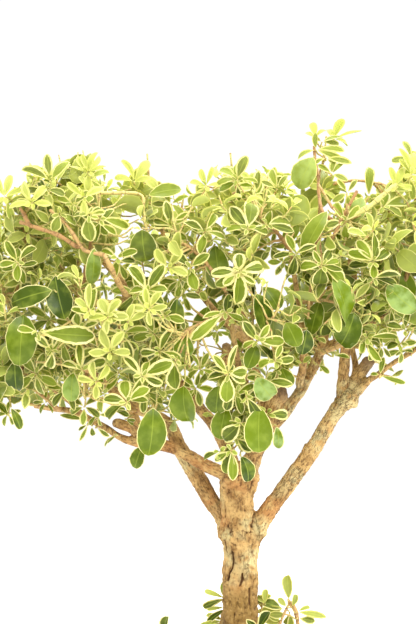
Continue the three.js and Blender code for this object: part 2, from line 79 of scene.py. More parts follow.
WOOD = {
    "trunk": (
        (0, 0, 44, 12.4), (0, 0, 66, 13.5), (-0.4, 0, 78, 12), (-0.4, 0, 90, 10.6), (0.1, 0, 98, 9.9),
        (0.1, 0, 108, 9.9), (0.1, 0, 120, 9.7), (0.5, 0, 128, 9.5), (0.3, 0, 140, 10.6),
        (-1.2, 0, 151, 9.2), (-1.4, 0, 160, 9.1), (-0.8, 0, 170, 10.4), (0.5, 0, 177, 7.5),
    ),
    "leader": (
        (3, 0, 164, 6.5), (6, 1, 178, 5), (13.5, 2, 196, 4.6), (20, 3, 212, 4.2), (23, 3, 218, 3.9),
    ),
    "leader_branch": (
        (17, 3, 198, 3.4), (25.6, 4, 206, 3), (29.8, 5, 212.6, 2.8), (34.2, 6, 218.6, 2.9),
        (37, 7, 224, 2.9), (43.2, 8, 235, 2.7), (45.4, 8, 242, 2.5), (48, 6, 256, 2.3),
        (44, 4, 280, 2.1), (43, 2, 305, 1.8), (43, 0, 330, 1.4),
    ),
    "leader_branch_right": (
        (45, 8, 240, 2.5), (52, 10, 243.6, 2.3), (59, 14, 247.4, 2.1), (67, 20, 257, 1.8),
        (78, 28, 276, 1.6), (84, 32, 292, 1.3),
    ),
    "right_limb": (
        (5, 0, 134, 6), (7.5, 0, 140, 5.8), (14, 0, 150, 4.9), (27.5, -2, 169, 4.6),
        (38.5, -4, 184.6, 4.4), (47, -6, 199.5, 4.2), (55, -7, 212, 4), (58, -8, 217, 3.6),
    ),
    "right_upright": (
        (55, -7, 211, 3.3), (56, -9, 228, 3), (57, -12, 245, 2.6), (60, -20, 268, 2.2),
        (58, -28, 292, 1.9), (56, -30, 306, 1.6),
    ),
    "right_stub": ((57, -7, 214, 3.8), (64, -6, 226, 3.5), (70.4, -5, 235, 3.3)),
    "right_thin": ((59, -4, 219, 1.7), (63.5, -0.5, 229.6, 1.8), (61.8, 1, 241, 1.6), (59, 4, 254, 1.3)),
    "right_branch": (
        (58, -8, 213, 3.2), (65, -9, 220, 2.5), (69.5, -10, 224.7, 2), (73, -11, 226.8, 1.7),
        (78.3, -12, 230.9, 1.4), (83.8, -13, 235, 1.3), (93.2, -14, 240.5, 1.2), (104, -12, 251, 1.2),
        (112, -8, 268, 1.1), (113, -4, 288, 1),
    ),
    "left_lower_limb": (
        (-3, 3, 134, 6.5), (-6.5, 3.5, 141, 5.6), (-8.8, 4, 147.5, 4.9), (-15, 5, 156, 4.6),
        (-23.2, 7, 169.2, 4.6), (-34.5, 10, 188, 4.2), (-38.5, 12, 197, 3.7), (-48, 14, 204, 3.1),
        (-59, 14, 208, 2.8), (-66, 13, 217, 2.6),
    ),
    "left_rise": (
        (-64, 13, 213, 2.6), (-73, 11, 226, 2.5), (-71, 9, 248, 2.4), (-63, 6, 270, 2.3),
        (-73, 0, 288, 2), (-86, -6, 297, 1.7), (-98, -8, 312, 1.3),
    ),
    "left_upper_limb": (
        (-4, -2, 171, 4.2), (-17.6, -4, 177, 3.5), (-37.4, -8, 188, 3.1), (-52, -11.5, 190.2, 2.5),
        (-60, -13.2, 192.2, 2.1), (-66.5, -14.5, 195, 1.85), (-71, -15.4, 198.4, 1.8),
        (-75.6, -16, 201, 1.8), (-81.7, -17, 204.4, 1.8), (-89.4, -19, 208.4, 1.6),
        (-101, -21, 210, 1.4), (-110, -22, 211.6, 1.2),
    ),
    "left_stub": (
        (-51, -11.5, 192.5, 2.4), (-57, -13.2, 197.6, 2.4), (-62.7, -15, 200.6, 2.5),
        (-66.6, -16.5, 202, 2.4),
    ),
    "left_front": (
        (-54, -12, 193.5, 2.4), (-55.4, -13, 199.8, 2.3), (-60.2, -15, 211.3, 2.2),
        (-66.5, -17, 216.7, 2.1), (-71.8, -19, 222, 2), (-76.3, -24, 226.5, 1.9), (-82, -34, 239, 1.7),
        (-86, -44, 256, 1.5), (-82, -50, 272, 1.2),
    ),
    "left_edge": (
        (-99, -20, 209.5, 1.4), (-108, -26, 226, 1.4), (-116, -31, 246, 1.3), (-118, -34, 270, 1.2),
        (-114, -34, 296, 1),
    ),
    "left_back": (
        (-64, 13, 214, 2.2), (-78, 28, 228, 2), (-92, 42, 246, 1.8), (-98, 46, 272, 1.5),
        (-90, 44, 300, 1.2),
    ),
    "back_left": (
        (-2, 4, 168, 5), (-7, 22, 184, 3.8), (-14.5, 34, 197, 3.5), (-24, 46, 207, 3.2),
        (-42, 62, 230, 2.6), (-54, 70, 256, 2.1), (-50, 64, 284, 1.7), (-42, 56, 304, 1.3),
    ),
    "back_right": (
        (2, 4, 166, 4.6), (12, 26, 190, 3.6), (20, 44, 214, 3.1), (34, 60, 240, 2.5), (52, 66, 266, 2),
        (58, 58, 290, 1.4),
    ),
    "back_upright": (
        (11, 24, 188, 2.6), (6, 42, 212, 2.3), (0, 56, 242, 2.1), (0, 62, 272, 1.8), (6, 56, 306, 1.3),
    ),
    "centre_front": (
        (9, 1, 183, 3.2), (6, -8, 196, 2.3), (3, -18, 208, 1.9), (0, -30, 226, 1.7), (-4, -40, 246, 1.5),
        (-8, -46, 272, 1.2),
    ),
    "centre_upright": (
        (14, 2, 197, 3.2), (12, 8, 214, 2.4), (7, 12, 240, 2), (1, 10, 268, 1.8), (-2, 6, 296, 1.6),
        (0, 0, 322, 1.3),
    ),
    "centre_left": (
        (6, 12, 243, 2), (-10, 16, 258, 1.8), (-28, 14, 280, 1.6), (-42, 6, 304, 1.3), (-48, 0, 322, 1),
    ),
    "right_front": ((57, -13, 246, 2.1), (70, -28, 256, 1.8), (82, -40, 272, 1.5), (88, -44, 290, 1.2)),
    "inner_front": (
        (33, 5, 221, 2.3), (34, -12, 236, 2), (32, -30, 254, 1.7), (28, -44, 274, 1.4),
        (24, -48, 294, 1.1),
    ),
    "root_left": ((-4, 0, 74, 6), (-14, -4, 70, 4.6), (-26, -9, 66, 3.4), (-38, -16, 58, 2.4)),
    "root_right": ((4, -2, 74, 6), (15, -8, 70, 4.4), (27, -13, 65, 3.2), (37, -14, 57, 2.2)),
    "root_front": ((0, -5, 74, 5.5), (-3, -16, 69, 4), (-4, -27, 60, 2.6)),
    "root_back": ((1, 5, 74, 6), (5, 16, 70, 4.4), (8, 28, 65, 3.2), (9, 37, 57, 2.2)),
}

# Swellings on the bark, as (x, y, z, radius): collars where limbs leave, and lumps of old cuts
SWELLINGS = {
    "right_collar": (9.8, -2.5, 142, 5.3),
    "left_collar": (-7.4, -1, 140.5, 5.1),
    "front_lump": (1.5, -6, 138, 4.6),
    "top_left_lip": (-7.4, -2, 170.5, 3.6),
    "top_right_lip": (6.8, -2.5, 171, 4.2),
    "top_front_lip": (-1, -6.6, 169.5, 4),
    "low_left_knot": (-6.8, -4, 114.6, 3.2),
    "leader_end": (21.4, 2.6, 216, 5.3),
    "leader_elbow": (12, 0, 192, 4.8),
    "right_fork": (58.2, -8, 214.4, 6),
    "right_fork_lump": (53, -9, 209, 4.7),
    "right_fork_knob": (61.9, -9, 211.4, 1.9),
    "right_stub_lip_left": (69, -6, 236, 2),
    "right_stub_lip_right": (71.8, -4.6, 234, 2),
    "left_fork": (-60, 13.6, 209, 3.9),
    "left_limb_knot": (-26, -7, 182.5, 3.4),
    "left_stub_end": (-66.8, -16.6, 202.1, 2.7),
    "limb_ring": (38.5, -5, 186, 4.8),
}
# Sawn ends, whose wood has weathered: (x, y, z, reach of the grey)
CUT_ENDS = {
    "leader": (23, 1, 218.5, 6.5),
    "right_stub": (70.4, -6, 237, 8),
    "left_stub": (-70.2, -17.4, 202.6, 3),
    "pruned_peg": (-7.5, -9.5, 243.5, 3),
}
# Patches on the bark, as (x, y, z, reach): pale ones, partly bleached and lichened bark and partly painted
# light on the lit right side of the trunk and limbs and on wood in the crown's shade, and ruddy ones where
# flakes fell
BLEACHED_AND_LIT = {
    "trunk_right": (6.5, -7, 126, 8), "armpit": (4.5, -8, 147, 5), "right_collar": (10.5, -5, 143.5, 6),
    "limb_ring": (43, -8, 192, 8), "right_fork": (58, -11, 216, 10), "trunk_left": (-7, -6, 127, 4),
    "limb_under": (
        31, -6, 170, 6), "right_branch": (76, -12, 229, 9), "right_branch_end": (92, -14, 240, 10,
    ),
    "right_thin": (
        62.5, 0, 236, 6), "right_fork_foot": (53, -10, 206, 7), "left_collar": (-8, -7, 140, 4,
    ),
    "leader_branch": (
        34, 3, 220, 9), "leader_branch_low": (26, 1, 207, 7), "leader_branch_top": (44, 5, 236, 7,
    ),
    "left_lower_limb": (-29, 4, 178, 7),
}
RUDDY = {
    "left_collar": (
        -9, -4, 147, 5), "upper_limb": (-20, -6, 179, 10), "upper_limb_end": (-58, -14, 193, 9,
    ),
    "upper_limb_middle": (-40, -10, 189, 6), "top_flakes": (-2, -8, 168, 7), "burr": (-2, -9, 113, 4.5),
    "limb_foot": (17, -4, 154, 8), "left_low_limb": (-14, 2, 156, 7), "limb_middle": (28, -4, 171, 5),
    "leader_foot": (4, -6, 171, 6),
}
# Where the bark flakes most, as above
FLAKING = {
    "top_collar": (1, -5, 168, 13), "right_fork": (58, -9, 213, 9), "low_collar": (0, -6, 140, 12),
    "limb_ring": (40, -6, 186, 7), "limb_knot": (16, -3, 158, 6), "leader_end": (22, 2, 214, 7),
}
LOW_DARKENING = (122, 103)  # heights between which the trunk darkens towards the bottom
# Cracks in the front of the trunk: width and share of the full depth, then pixels down each one
CRACKS = {
    "left_long": (1.1, 1, (231.6, 552), (232.8, 560), (231.6, 569), (228.8, 574), (227.5, 580)),
    "middle": (1.2, 1, (242.4, 574), (242.6, 579), (241.4, 583), (239.8, 586)),
    "right_low": (1.0, 1, (250.2, 589), (249.8, 596), (250.3, 604)),
    "right_middle": (0.8, 0.8, (254.8, 579), (254, 584), (253.2, 589)),
    "left_high": (0.8, 0.7, (223.8, 541), (225, 546), (226.6, 552)),
    "right_high": (0.8, 0.5, (249, 490), (247.4, 498), (248.2, 508)),
    "left_top": (0.8, 0.5, (229.6, 484), (229, 488), (229.6, 493)),
    "right_armpit": (1.0, 0.7, (254.2, 512), (253.6, 519), (252.4, 527)),
    "left_armpit": (1.0, 0.6, (224.6, 508), (225, 517), (224, 526)),
    "crease_left": (0.8, 0.4, (229.5, 532.5), (233, 531.5)),
    "crease_right": (0.8, 0.4, (244, 531), (248, 533), (252, 532)),
    "foot": (0.9, 0.8, (234.2, 614), (233.6, 620), (234.4, 628)),
    "foot_right": (0.8, 0.5, (246, 606), (245.4, 616)),
    "upper_right": (0.8, 0.5, (252, 484), (251, 490), (251.6, 496)),
}
CRACK_DEPTH = 1.9
PRUNED_PEG = ((-8, -6, 232, 2.3), (-7.6, -9.5, 244, 2.4))
THICK = 1.9  # limbs are one skin down to this radius, and thinner ones are drawn out of it
EASING = 12  # rounds of smoothing on the skin
SHRINKAGE = 0.7  # what those rounds take off a limb's radius, times that radius

BARE_TO = 190  # height up to which limbs carry no leaves
# Heights between which a limb shows below or between the leaves
VISIBLE_WOOD = {
    "trunk": (90, 175), "leader": (160, 222), "leader_branch": (200, 242), "left_upper_limb": (168, 213),
    "left_stub": (
        190, 206), "left_front": (194, 227), "left_lower_limb": (140, 200), "right_upright": (205, 243,
    ),
    "right_stub": (205, 240), "right_thin": (222, 244), "right_branch": (205, 247),
}

# ---- Branchlets: middle (x, y, z) from the root of the tree, and reach ----

SPRAYS = {
    "left_front_low": (-120, -42, 226, 27),
    "left_front_mid": (-122, -46, 270, 27),
    "left_front_high": (-112, -40, 314, 27),
    "left_inner_front_low": (-80, -56, 218, 26),
    "left_inner_front_mid": (-76, -62, 262, 27),
    "left_inner_front_high": (-74, -50, 310, 28),
    "centre_left_front_low": (-46, -42, 208, 26),
    "centre_left_front_mid": (-32, -62, 250, 27),
    "centre_left_front_high": (-32, -56, 298, 27),
    "centre_front_low": (6, -40, 210, 23),
    "centre_front_mid": (14, -60, 258, 27),
    "centre_front_high": (10, -52, 308, 28),
    "right_inner_front_mid": (54, -52, 264, 26),
    "right_inner_front_high": (54, -50, 308, 27),
    "right_front_mid": (94, -44, 258, 25),
    "right_front_high": (92, -42, 304, 27),
    "left_edge_low": (-126, 4, 244, 25),
    "left_edge_high": (-124, 4, 296, 27),
    "left_top": (-92, -2, 334, 26),
    "left_low": (-88, 4, 240, 24),
    "centre_left_top": (-50, -4, 336, 27),
    "centre_left_low": (-44, 6, 242, 24),
    "centre_top": (-4, -6, 336, 28),
    "crown_top": (46, -4, 346, 26),
    "right_inner_low": (34, 20, 252, 22),
    "right_top": (84, -4, 330, 26),
    "right_low": (80, 6, 254, 22),
    "right_edge_low": (108, -2, 262, 22),
    "right_edge_high": (110, 2, 306, 24),
    "back_left_low": (-104, 46, 236, 26),
    "back_left_mid": (-102, 50, 284, 27),
    "back_left_high": (-80, 44, 322, 27),
    "back_centre_left_low": (-56, 52, 232, 26),
    "back_centre_left_mid": (-56, 64, 276, 27),
    "back_centre_left_high": (-34, 52, 320, 27),
    "back_centre_low": (-8, 56, 238, 26),
    "back_centre_mid": (-4, 68, 280, 27),
    "back_centre_high": (12, 48, 326, 27),
    "back_right_inner_low": (38, 56, 250, 25),
    "back_right_inner_mid": (46, 62, 294, 26),
    "back_right_low": (82, 44, 266, 25),
    "back_right_high": (80, 44, 308, 26),
}
# Shoots from the foot of the trunk: radius, then points up the stem from the root of the tree
SUCKERS = {
    "left_sucker": (1.0, (-7.4, 6, 72), (-8, 8.6, 82), (-8.4, 9.4, 92), (-8.6, 9.4, 101), (-8.8, 9, 106)),
    "far_left_sucker": (0.9, (-34, -13, 60), (-38, -9, 70), (-40.6, -5, 79), (-41.2, -3, 86)),
    "right_sucker": (1.0, (8, 3, 72), (11.5, 5, 82), (11.8, 5, 92), (12.4, 4, 101), (13, 3.4, 105)),
    "far_right_sucker": (
        1.35, (18, -6, 66), (19, -6, 82), (21.5, -5.5, 91), (25, -4.6, 99), (27.4, -4, 103.4),
    ),
}

# ---- Leaves in known places ----
# Each springs from a pixel (across, down) at a depth before (-) or behind the trunk, as
# (where its tip points, in degrees clockwise from up; length; width; and for some a tone, from -1 for a
# blade painted with a mint sheen for the bright surround reflected in it, over 0 for light green, to 1 for
# dark green).

BROAD_LEAVES = {
    "under_fork": (153, 406, -64, (178, 25, 15.5, 0.4)),
    "mint_sheen": (184, 384, -62, (185, 20, 16, 0.3)),
    "high_bowl": (142, 228, -56, (178, 17, 14.5, 0.8)),
    "left_hanging": (55, 274, -60, (170, 21, 14, 1)),
    "left_arching": (54, 290, -66, (258, 24, 11, 0.8)),
    "left_lance": (94, 246, -64, (178, 21, 8.5, -0.5)),
    "behind_top_stem": (314, 156, -26, (212, 18, 15, -0.6)),
    "right_mint": (332, 277, -64, (148, 26, 17, -0.45)),
    "far_right": (386, 284, -58, (142, 18, 13, -0.8)),
    "centre_dark": (256, 292, -60, (160, 20, 14, 1)),
    "right_gold": (355, 311, -56, (196, 18, 15.5, 0.75)),
    "centre_round": (285, 321, -56, (150, 13, 11, 0.1)),
    "right_of_round": (307, 328, -54, (190, 14, 10, 1)),
    "centre_disc": (262, 286, -50, (135, 13, 11, 0.4)),
    "left_of_middle": (177, 297, -56, (180, 15, 10, 0.9)),
    "far_left_bowl": (24, 313, -62, (185, 24, 17, 0.4)),
    "far_left_low": (15, 360, -60, (178, 15, 11, 1)),
    "far_left_curl": (10, 407, -50, (142, 12, 5.5)),
    "pale_low": (74, 371, -64, (190, 14, 10, -0.5)),
    "pale_middle": (181, 331, -58, (170, 14, 11, -0.6)),
    "crown_foot": (143, 444, -48, (203, 12, 8.5, 0.4)),
    "pale_high": (215, 244, -48, (175, 16, 13, 0.4)),
    "beside_mint": (219, 384, -56, (188, 15, 12, 0.6)),
    "below_rosette": (226, 405, -52, (192, 16, 12, 0.2)),
    "triangle": (257, 344, -52, (202, 12, 9, 0.2)),
    "over_trunk": (260, 405, -60, (186, 23, 16, -0.1)),
    "hanging_plain": (240, 455, -56, (142, 13, 9, 1)),
    "right_arch": (328, 210, -46, (216, 25, 12, 0.1)),
    "mint_behind_peg": (362, 196, -40, (196, 12, 10, -0.9)),
    "pointed_mint": (256, 376, -60, (150, 15, 12, -0.8)),
    "leader_side": (281, 366, -40, (160, 11, 9, 0.5)),
    "drop": (276, 425, -40, (165, 12, 6, -0.9)),
    "high_shelf": (147, 196, -42, (73, 17, 9, 0.2)),
    "middle_shelf": (128, 236, -50, (105, 15, 9, 0.2)),
    "left_shade": (68, 300, -50, (150, 18, 12)),
    "right_shade": (320, 300, -46, (200, 16, 11)),
    "centre_shade": (208, 305, -44, (195, 16, 12)),
    "right_edge_shade": (402, 268, -40, (165, 15, 10)),
    "high_centre_shade": (300, 222, -36, (215, 16, 12)),
}
EDGED_SPRIGS = {
    "top_left": (50, 181, -60, (305, 15, 6.5), (355, 13, 5.5), (42, 13, 7)),
    "top_left_below": (46, 190, -62, (272, 10, 6.5), (95, 9, 5)),
    "top_left_ring": (60, 214, -62, (200, 8, 6.5), (110, 9, 5)),
    "round_hanging": (88, 215, -66, (180, 12, 8.5, 0.6), (75, 8, 4), (285, 8, 4)),
    "left_eye": (74, 205, -60, (175, 8, 6.5), (40, 9, 5), (300, 10, 5)),
    "bright_v": (147, 291, -78, (330, 15, 8), (32, 14, 7.5), (75, 9, 5), (285, 9, 5)),
    "left_spoon": (92, 315, -76, (355, 15, 8), (60, 9, 5), (290, 9, 5)),
    "left_loop": (80, 330, -74, (345, 8, 7, 0.5), (190, 8, 6), (60, 9, 5)),
    "round_eye": (165, 316, -60, (185, 8, 7), (100, 9, 5), (300, 9, 5)),
    "low_left_fan": (82, 370, -72, (350, 12, 6), (60, 12, 6), (300, 11, 5)),
    "low_left_shelf": (129, 401, -62, (247, 16, 7), (80, 9, 5)),
    "front_spread": (142, 376, -76, (62, 15, 9, 0.4), (320, 13, 6.5), (200, 11, 6.5), (110, 10, 6)),
    "front_disc": (175, 361, -68, (182, 12.5, 10, 0.6), (300, 9, 5)),
    "front_bright": (127, 402, -78, (350, 12, 7), (50, 12, 6.5), (290, 11, 6)),
    "high_rosette": (237, 180, -42, (318, 11, 6), (18, 12, 7), (85, 10, 4), (280, 10, 4), (345, 9, 3)),
    "high_spoon": (256, 194, -40, (8, 11, 6)),
    "tall_v": (248, 229, -64, (322, 14, 7), (12, 15.5, 9), (84, 11, 5), (285, 11, 5)),
    "tall_v_side": (267, 225, -60, (62, 13, 6.5, 0.7), (100, 12, 5)),
    "high_pair": (277, 189, -38, (342, 11, 5.5), (35, 8, 4), (300, 8, 3.5)),
    "star": (
        239, 272, -68, (180, 14.5, 10.5), (272, 13, 6), (72, 12.5, 7), (0, 8, 7), (130, 9, 5),
        (230, 9, 5),
    ),
    "wide_rosette": (
        322, 266, -64, (278, 12, 6), (100, 9, 4.5), (112, 14.5, 7), (190, 9.5, 9), (28, 9, 5.5),
        (330, 8, 4), (65, 9, 4),
    ),
    "right_rosette": (
        373, 262, -62, (8, 14.5, 6.5, 0.7), (55, 10.5, 6.5, 0.7), (300, 12.5, 7.5), (325, 12, 6),
        (180, 7.5, 6), (12, 7, 5),
    ),
    "right_pair": (373, 278, -60, (80, 13, 6.5), (98, 13, 5.5, 1)),
    "top_tuft": (316, 150, -22, (264, 12, 4.5), (78, 14, 4), (108, 14, 4.5), (352, 8, 4)),
    "top_tuft_mid": (322, 142, -22, (66, 10, 5), (92, 9, 4), (300, 5, 3)),
    "top_tuft_low": (326, 158, -24, (100, 12, 5), (130, 8, 4), (250, 6, 4)),
    "mast_foot": (332, 174, -26, (0, 7, 4.5), (40, 7, 4), (305, 8, 4), (110, 8, 4)),
    "lone_spoon": (369, 196, -32, (355, 14, 7, 0.4)),
    "right_shelf": (383, 206, -46, (73, 14, 8), (110, 10, 5)),
    "middle_rosette": (
        228, 374, -74, (15, 14, 5, 0.8), (325, 11, 5), (300, 9, 5), (80, 9.5, 7), (185, 12, 8.5),
        (112, 9, 5.5), (268, 10, 5.5),
    ),
    "middle_eye": (236, 392, -58, (222, 10, 6, 1)),
    "middle_eye_right": (246, 396, -60, (146, 14, 7, 1)),
    "yellow_rim": (258, 341, -60, (88, 12, 6), (322, 11, 5.5, 0.8), (35, 9, 4.5), (262, 8, 4)),
    "long_left": (226, 312, -62, (236, 20, 6.5), (262, 11, 4.5), (120, 9, 5)),
    "leader_star": (275, 361, -62, (84, 9.5, 5), (272, 9, 5), (20, 8, 4)),
    "leader_shelf": (267, 381, -54, (92, 11.5, 5)),
    "leader_eye": (267, 414, -56, (92, 11, 6.5, 0.9)),
    "hanging_dark": (241, 423, -58, (226, 12, 9, 0.9), (262, 6, 5)),
    "hanging_dark_low": (236, 438, -54, (128, 9, 6, 1)),
    "hanging_side": (220, 452, -58, (262, 9.5, 4.5, 0.8)),
    "hanging_rosette": (231, 450, -60, (235, 9, 5), (193, 11.5, 8), (171, 13.5, 6)),
    "right_bar": (367, 337, -52, (88, 16, 5.5), (210, 8, 5)),
    "right_low_star": (366, 341, -50, (148, 11, 6.5)),
    "right_low_disc": (400, 344, -48, (270, 6, 5.5), (82, 7, 4)),
    "right_low_blades": (380, 375, -28, (5, 8.5, 3.5), (110, 12, 3.5), (285, 4.5, 2.5)),
    "right_low_tip": (317, 364, -22, (120, 7, 3.2)),
    "right_fork_bar": (333, 356, -30, (88, 8, 4)),
    "right_side": (405, 330, -52, (0, 9, 5), (60, 9, 5), (300, 9, 5)),
    "right_side_low": (391, 308, -50, (180, 9, 5, 0.7), (95, 9, 5), (270, 8, 4)),
    "left_under_a": (84, 420, -24, (289, 12, 3.4, 0.8)),
    "left_under_b": (88, 424, -23, (202, 9.5, 2.4), (236, 5, 2.6)),
    "left_under_c": (92, 426, -23, (178, 4.5, 3.2, 0.8)),
    "left_under_d": (96, 427, -23, (122, 7.5, 3.4, 0.7)),
    "left_under_e": (117, 434, -21, (240, 9, 2.4), (228, 6, 2)),
    "left_over": (113, 411, -30, (92, 8.5, 4.2, 0.8), (75, 6, 3)),
    "left_under_f": (125, 419, -23, (98, 5, 2.6, 0.8), (118, 5, 2.4, 0.8)),
    "centre_left_star": (205, 232, -58, (300, 11, 6), (30, 12, 6), (95, 10, 5), (190, 10, 7)),
    "centre_left_low_star": (190, 268, -60, (320, 11, 6, 0.8), (50, 11, 6), (170, 10, 6.5), (260, 9, 5)),
    "middle_high": (172, 226, -50, (345, 12, 6), (50, 10, 5), (290, 10, 5)),
    "right_high_star": (345, 222, -52, (330, 11, 6), (40, 10, 5), (180, 9, 6), (265, 9, 5)),
    "centre_right_star": (295, 254, -54, (340, 10, 5), (60, 10, 5), (185, 10, 6.5), (270, 10, 5)),
    "left_low_star": (52, 350, -66, (310, 10, 5), (20, 10, 6), (180, 10, 6)),
    "left_edge_star": (18, 262, -60, (330, 11, 6), (40, 11, 6), (180, 9, 6), (260, 10, 5)),
    "left_mid_star": (118, 258, -60, (300, 11, 5.5), (190, 10, 6), (60, 9, 5)),
    "low_middle_star": (160, 352, -64, (20, 11, 6, 0.7), (95, 11, 5), (270, 10, 5)),
    "cream_level": (100, 219, -66, (96, 16, 6.5)),
    "long_cream": (39, 332, -78, (96, 26, 10), (280, 11, 5)),
}
# Young pale sprigs; the ones named glow stand where the crown's front shows bright, and are partly painted
# light
YOUNG_SPRIGS = {
    "spiky_top": (
        88, 173, -46, (345, 9, 3.5), (10, 11, 4.5), (40, 11, 3.5), (320, 10, 3.5), (65, 9, 3),
        (295, 9, 3), (180, 8, 5),
    ),
    "pale_upright": (134, 182, -32, (350, 12, 4.5), (35, 13, 6), (300, 9, 4), (75, 8, 4)),
    "top_tuft_tip": (334, 139, -20, (20, 10.5, 7), (70, 14, 3), (100, 8, 3.5), (330, 6, 4)),
    "top_tuft_peg": (315, 138, -22, (355, 7.5, 4.5), (40, 6, 3.5), (310, 5, 3)),
    "golden_corner": (411, 175, -52, (345, 14, 4.5), (15, 14, 5), (50, 12, 4), (330, 9, 4), (75, 11, 4)),
    "golden_low": (396, 186, -50, (340, 9, 4.5), (20, 9, 4.5), (95, 8, 4)),
    "left_top_pale": (5, 197, -56, (330, 12, 5), (15, 11, 4.5), (60, 9, 4)),
    "top_middle_pale": (206, 186, -44, (340, 9, 4), (20, 9, 4), (75, 8, 3.5), (290, 8, 3.5)),
    "front_glow": (110, 352, -80, (340, 11, 6), (30, 11, 6), (90, 9, 5), (270, 9, 5)),
    "front_glow_low": (96, 382, -78, (345, 10, 5.5), (45, 10, 5), (285, 9, 5), (180, 8, 5)),
    "left_glow": (32, 203, -66, (330, 11, 5), (35, 11, 5), (90, 9, 4), (265, 10, 5)),
    "shoulder_glow": (84, 197, -68, (310, 10, 5), (60, 10, 5), (180, 9, 5)),
    "twin_glow": (149, 309, -86, (345, 9, 5), (30, 9, 5), (80, 8, 4.5), (275, 8, 4.5), (180, 7, 4)),
    "mound_glow": (108, 317, -84, (340, 9, 6), (25, 9, 6), (85, 9, 5), (275, 9, 5), (190, 7, 5)),
    "tip_glow": (128, 322, -84, (10, 8, 4.5), (60, 8, 4.5), (310, 8, 4.5)),
    "hook_glow": (89, 311, -84, (3, 12, 5), (320, 8, 4)),
    "centre_glow": (168, 268, -70, (325, 10, 6), (35, 10, 6), (100, 9, 5)),
}
# Sprigs behind those, whose leaves spread evenly: pixel across and down, depth, and length of the leaves
FILLING_SPRIGS = (
    (283, 262, -46, 7), (271, 247, -44, 7), (51, 320, -50, 12), (182, 294, -44, 9), (179, 315, -44, 7),
    (180, 279, -46, 9), (171, 204, -36, 9), (217, 331, -50, 6), (401, 350, -36, 7), (347, 193, -36, 8),
    (136, 293, -50, 12), (122, 334, -54, 12), (154, 334, -54, 11), (98, 348, -50, 11), (62, 340, -50, 11),
    (36, 374, -46, 11), (66, 390, -42, 10), (104, 394, -44, 10), (200, 369, -46, 8), (196, 388, -44, 9),
    (8, 414, -40, 6), (84, 407, -36, 9), (98, 415, -26, 6), (411, 160, -44, 9), (382, 346, -40, 6),
    (144, 392, -44, 10), (46, 402, -30, 6),
)
# Bare twigs that show between the leaves: radius, tone from tan (0) through pale (0.8) to green (1), and
# then pixels with their depth
BARE_TWIGS = {
    "left_tan": (1.8, 0.7, (129, 304, -46), (119, 284, -58), (111, 268, -64), (104, 255, -66)),
    "left_tan_high": (1.1, 0.55, (84, 250, -62), (77, 240, -62), (66, 224, -62), (50, 210, -62)),
    "far_left": (1.3, 0.2, (78, 247, -60), (60, 236, -62), (38, 228, -62), (20, 222, -60)),
    "far_left_ruddy": (1.2, 0.0, (30, 226, -62), (24, 214, -62), (20, 208, -62)),
    "right_tan": (1.2, 0.35, (330, 242, -50), (337, 230, -52), (341, 220, -52), (345, 213, -52)),
    "right_tan_peg": (1.1, 0.1, (344, 215, -52), (350, 204, -52), (357, 191, -52)),
    "right_green": (
        1.7, 1.0, (344, 219, -50), (356, 214, -52), (370, 206, -52), (382, 196, -52), (396, 184, -52),
    ),
    "right_peg": (0.9, 0.3, (332, 207, -52), (325, 195, -52), (318, 184, -50)),
    "top_mast": (
        1.1, 0.15, (324, 214, -36), (319, 196, -28), (318, 176, -22), (315, 158, -20), (314, 146, -20),
    ),
    "right_red": (1.0, 0.0, (416, 246, -46), (414, 260, -44), (408, 274, -40), (402, 290, -34)),
    "centre_post": (1.0, 0.4, (311, 284, -56), (309, 300, -54), (308, 318, -48), (306, 336, -40)),
    "olive_stem": (1.1, 0.9, (142, 196, -40), (143, 210, -42), (146, 228, -44), (150, 244, -44)),
    "left_level": (0.9, 0.5, (36, 362, -56), (52, 363, -58), (74, 367, -56), (92, 374, -50)),
    "left_low": (0.9, 0.3, (27, 385, -34), (42, 396, -32), (62, 411, -26)),
    "left_low_high": (0.9, 0.3, (46, 384, -34), (60, 396, -30), (74, 406, -24), (87, 416, -20)),
    "far_left_low": (0.9, 0.4, (26, 403, -24), (44, 407, -24), (62, 410, -22)),
    "fork_twig": (1.1, 0.5, (238, 326, -30), (244, 336, -26), (250, 346, -20), (257, 356, -14)),
    "right_fork_twig": (1.5, 0.7, (320, 354, -6), (330, 350, -10), (342, 345, -14)),
}
# Clear air that shows through the crown: pixel across and down, width and height in pixels
CROWN_WINDOWS = {
    "left_of_middle_rosette": (214, 342, 34, 20),
    "over_leader_left": (195, 309, 18, 20),
    "beside_centre_disc": (277, 284, 14, 24),
    "right_fork": (350, 366, 9, 32),
    "right_side": (405, 338, 18, 22),
    "high_left": (177, 200, 16, 19),
    "beside_tall_v": (278, 237, 11, 18),
    "under_left_limb": (111, 421, 19, 14),
    "right_low": (386, 358, 11, 13),
    "centre_slit": (271, 264, 11, 15),
    "high_left_slit": (208, 177, 10, 15),
    "centre_bar": (290, 249, 20, 10),
    "left_bar": (131, 216, 14, 7),
    "leader_slit": (295, 381, 9, 18),
    "leader_cut": (282, 395, 20, 16),
    "right_slit": (374, 367, 7, 16),
    "right_bar": (390, 224, 15, 6),
    "right_eye": (386, 346, 10, 11),
    "high_far_left": (65, 180, 10, 8),
    "low_centre_eye": (278, 305, 9, 8),
    "left_eye": (123, 233, 7, 10),
    "low_left_eye": (70, 359, 7, 8),
    "under_right_leaves": (300, 420, 40, 70),
    "under_left_leaves": (197, 437, 34, 26),
}
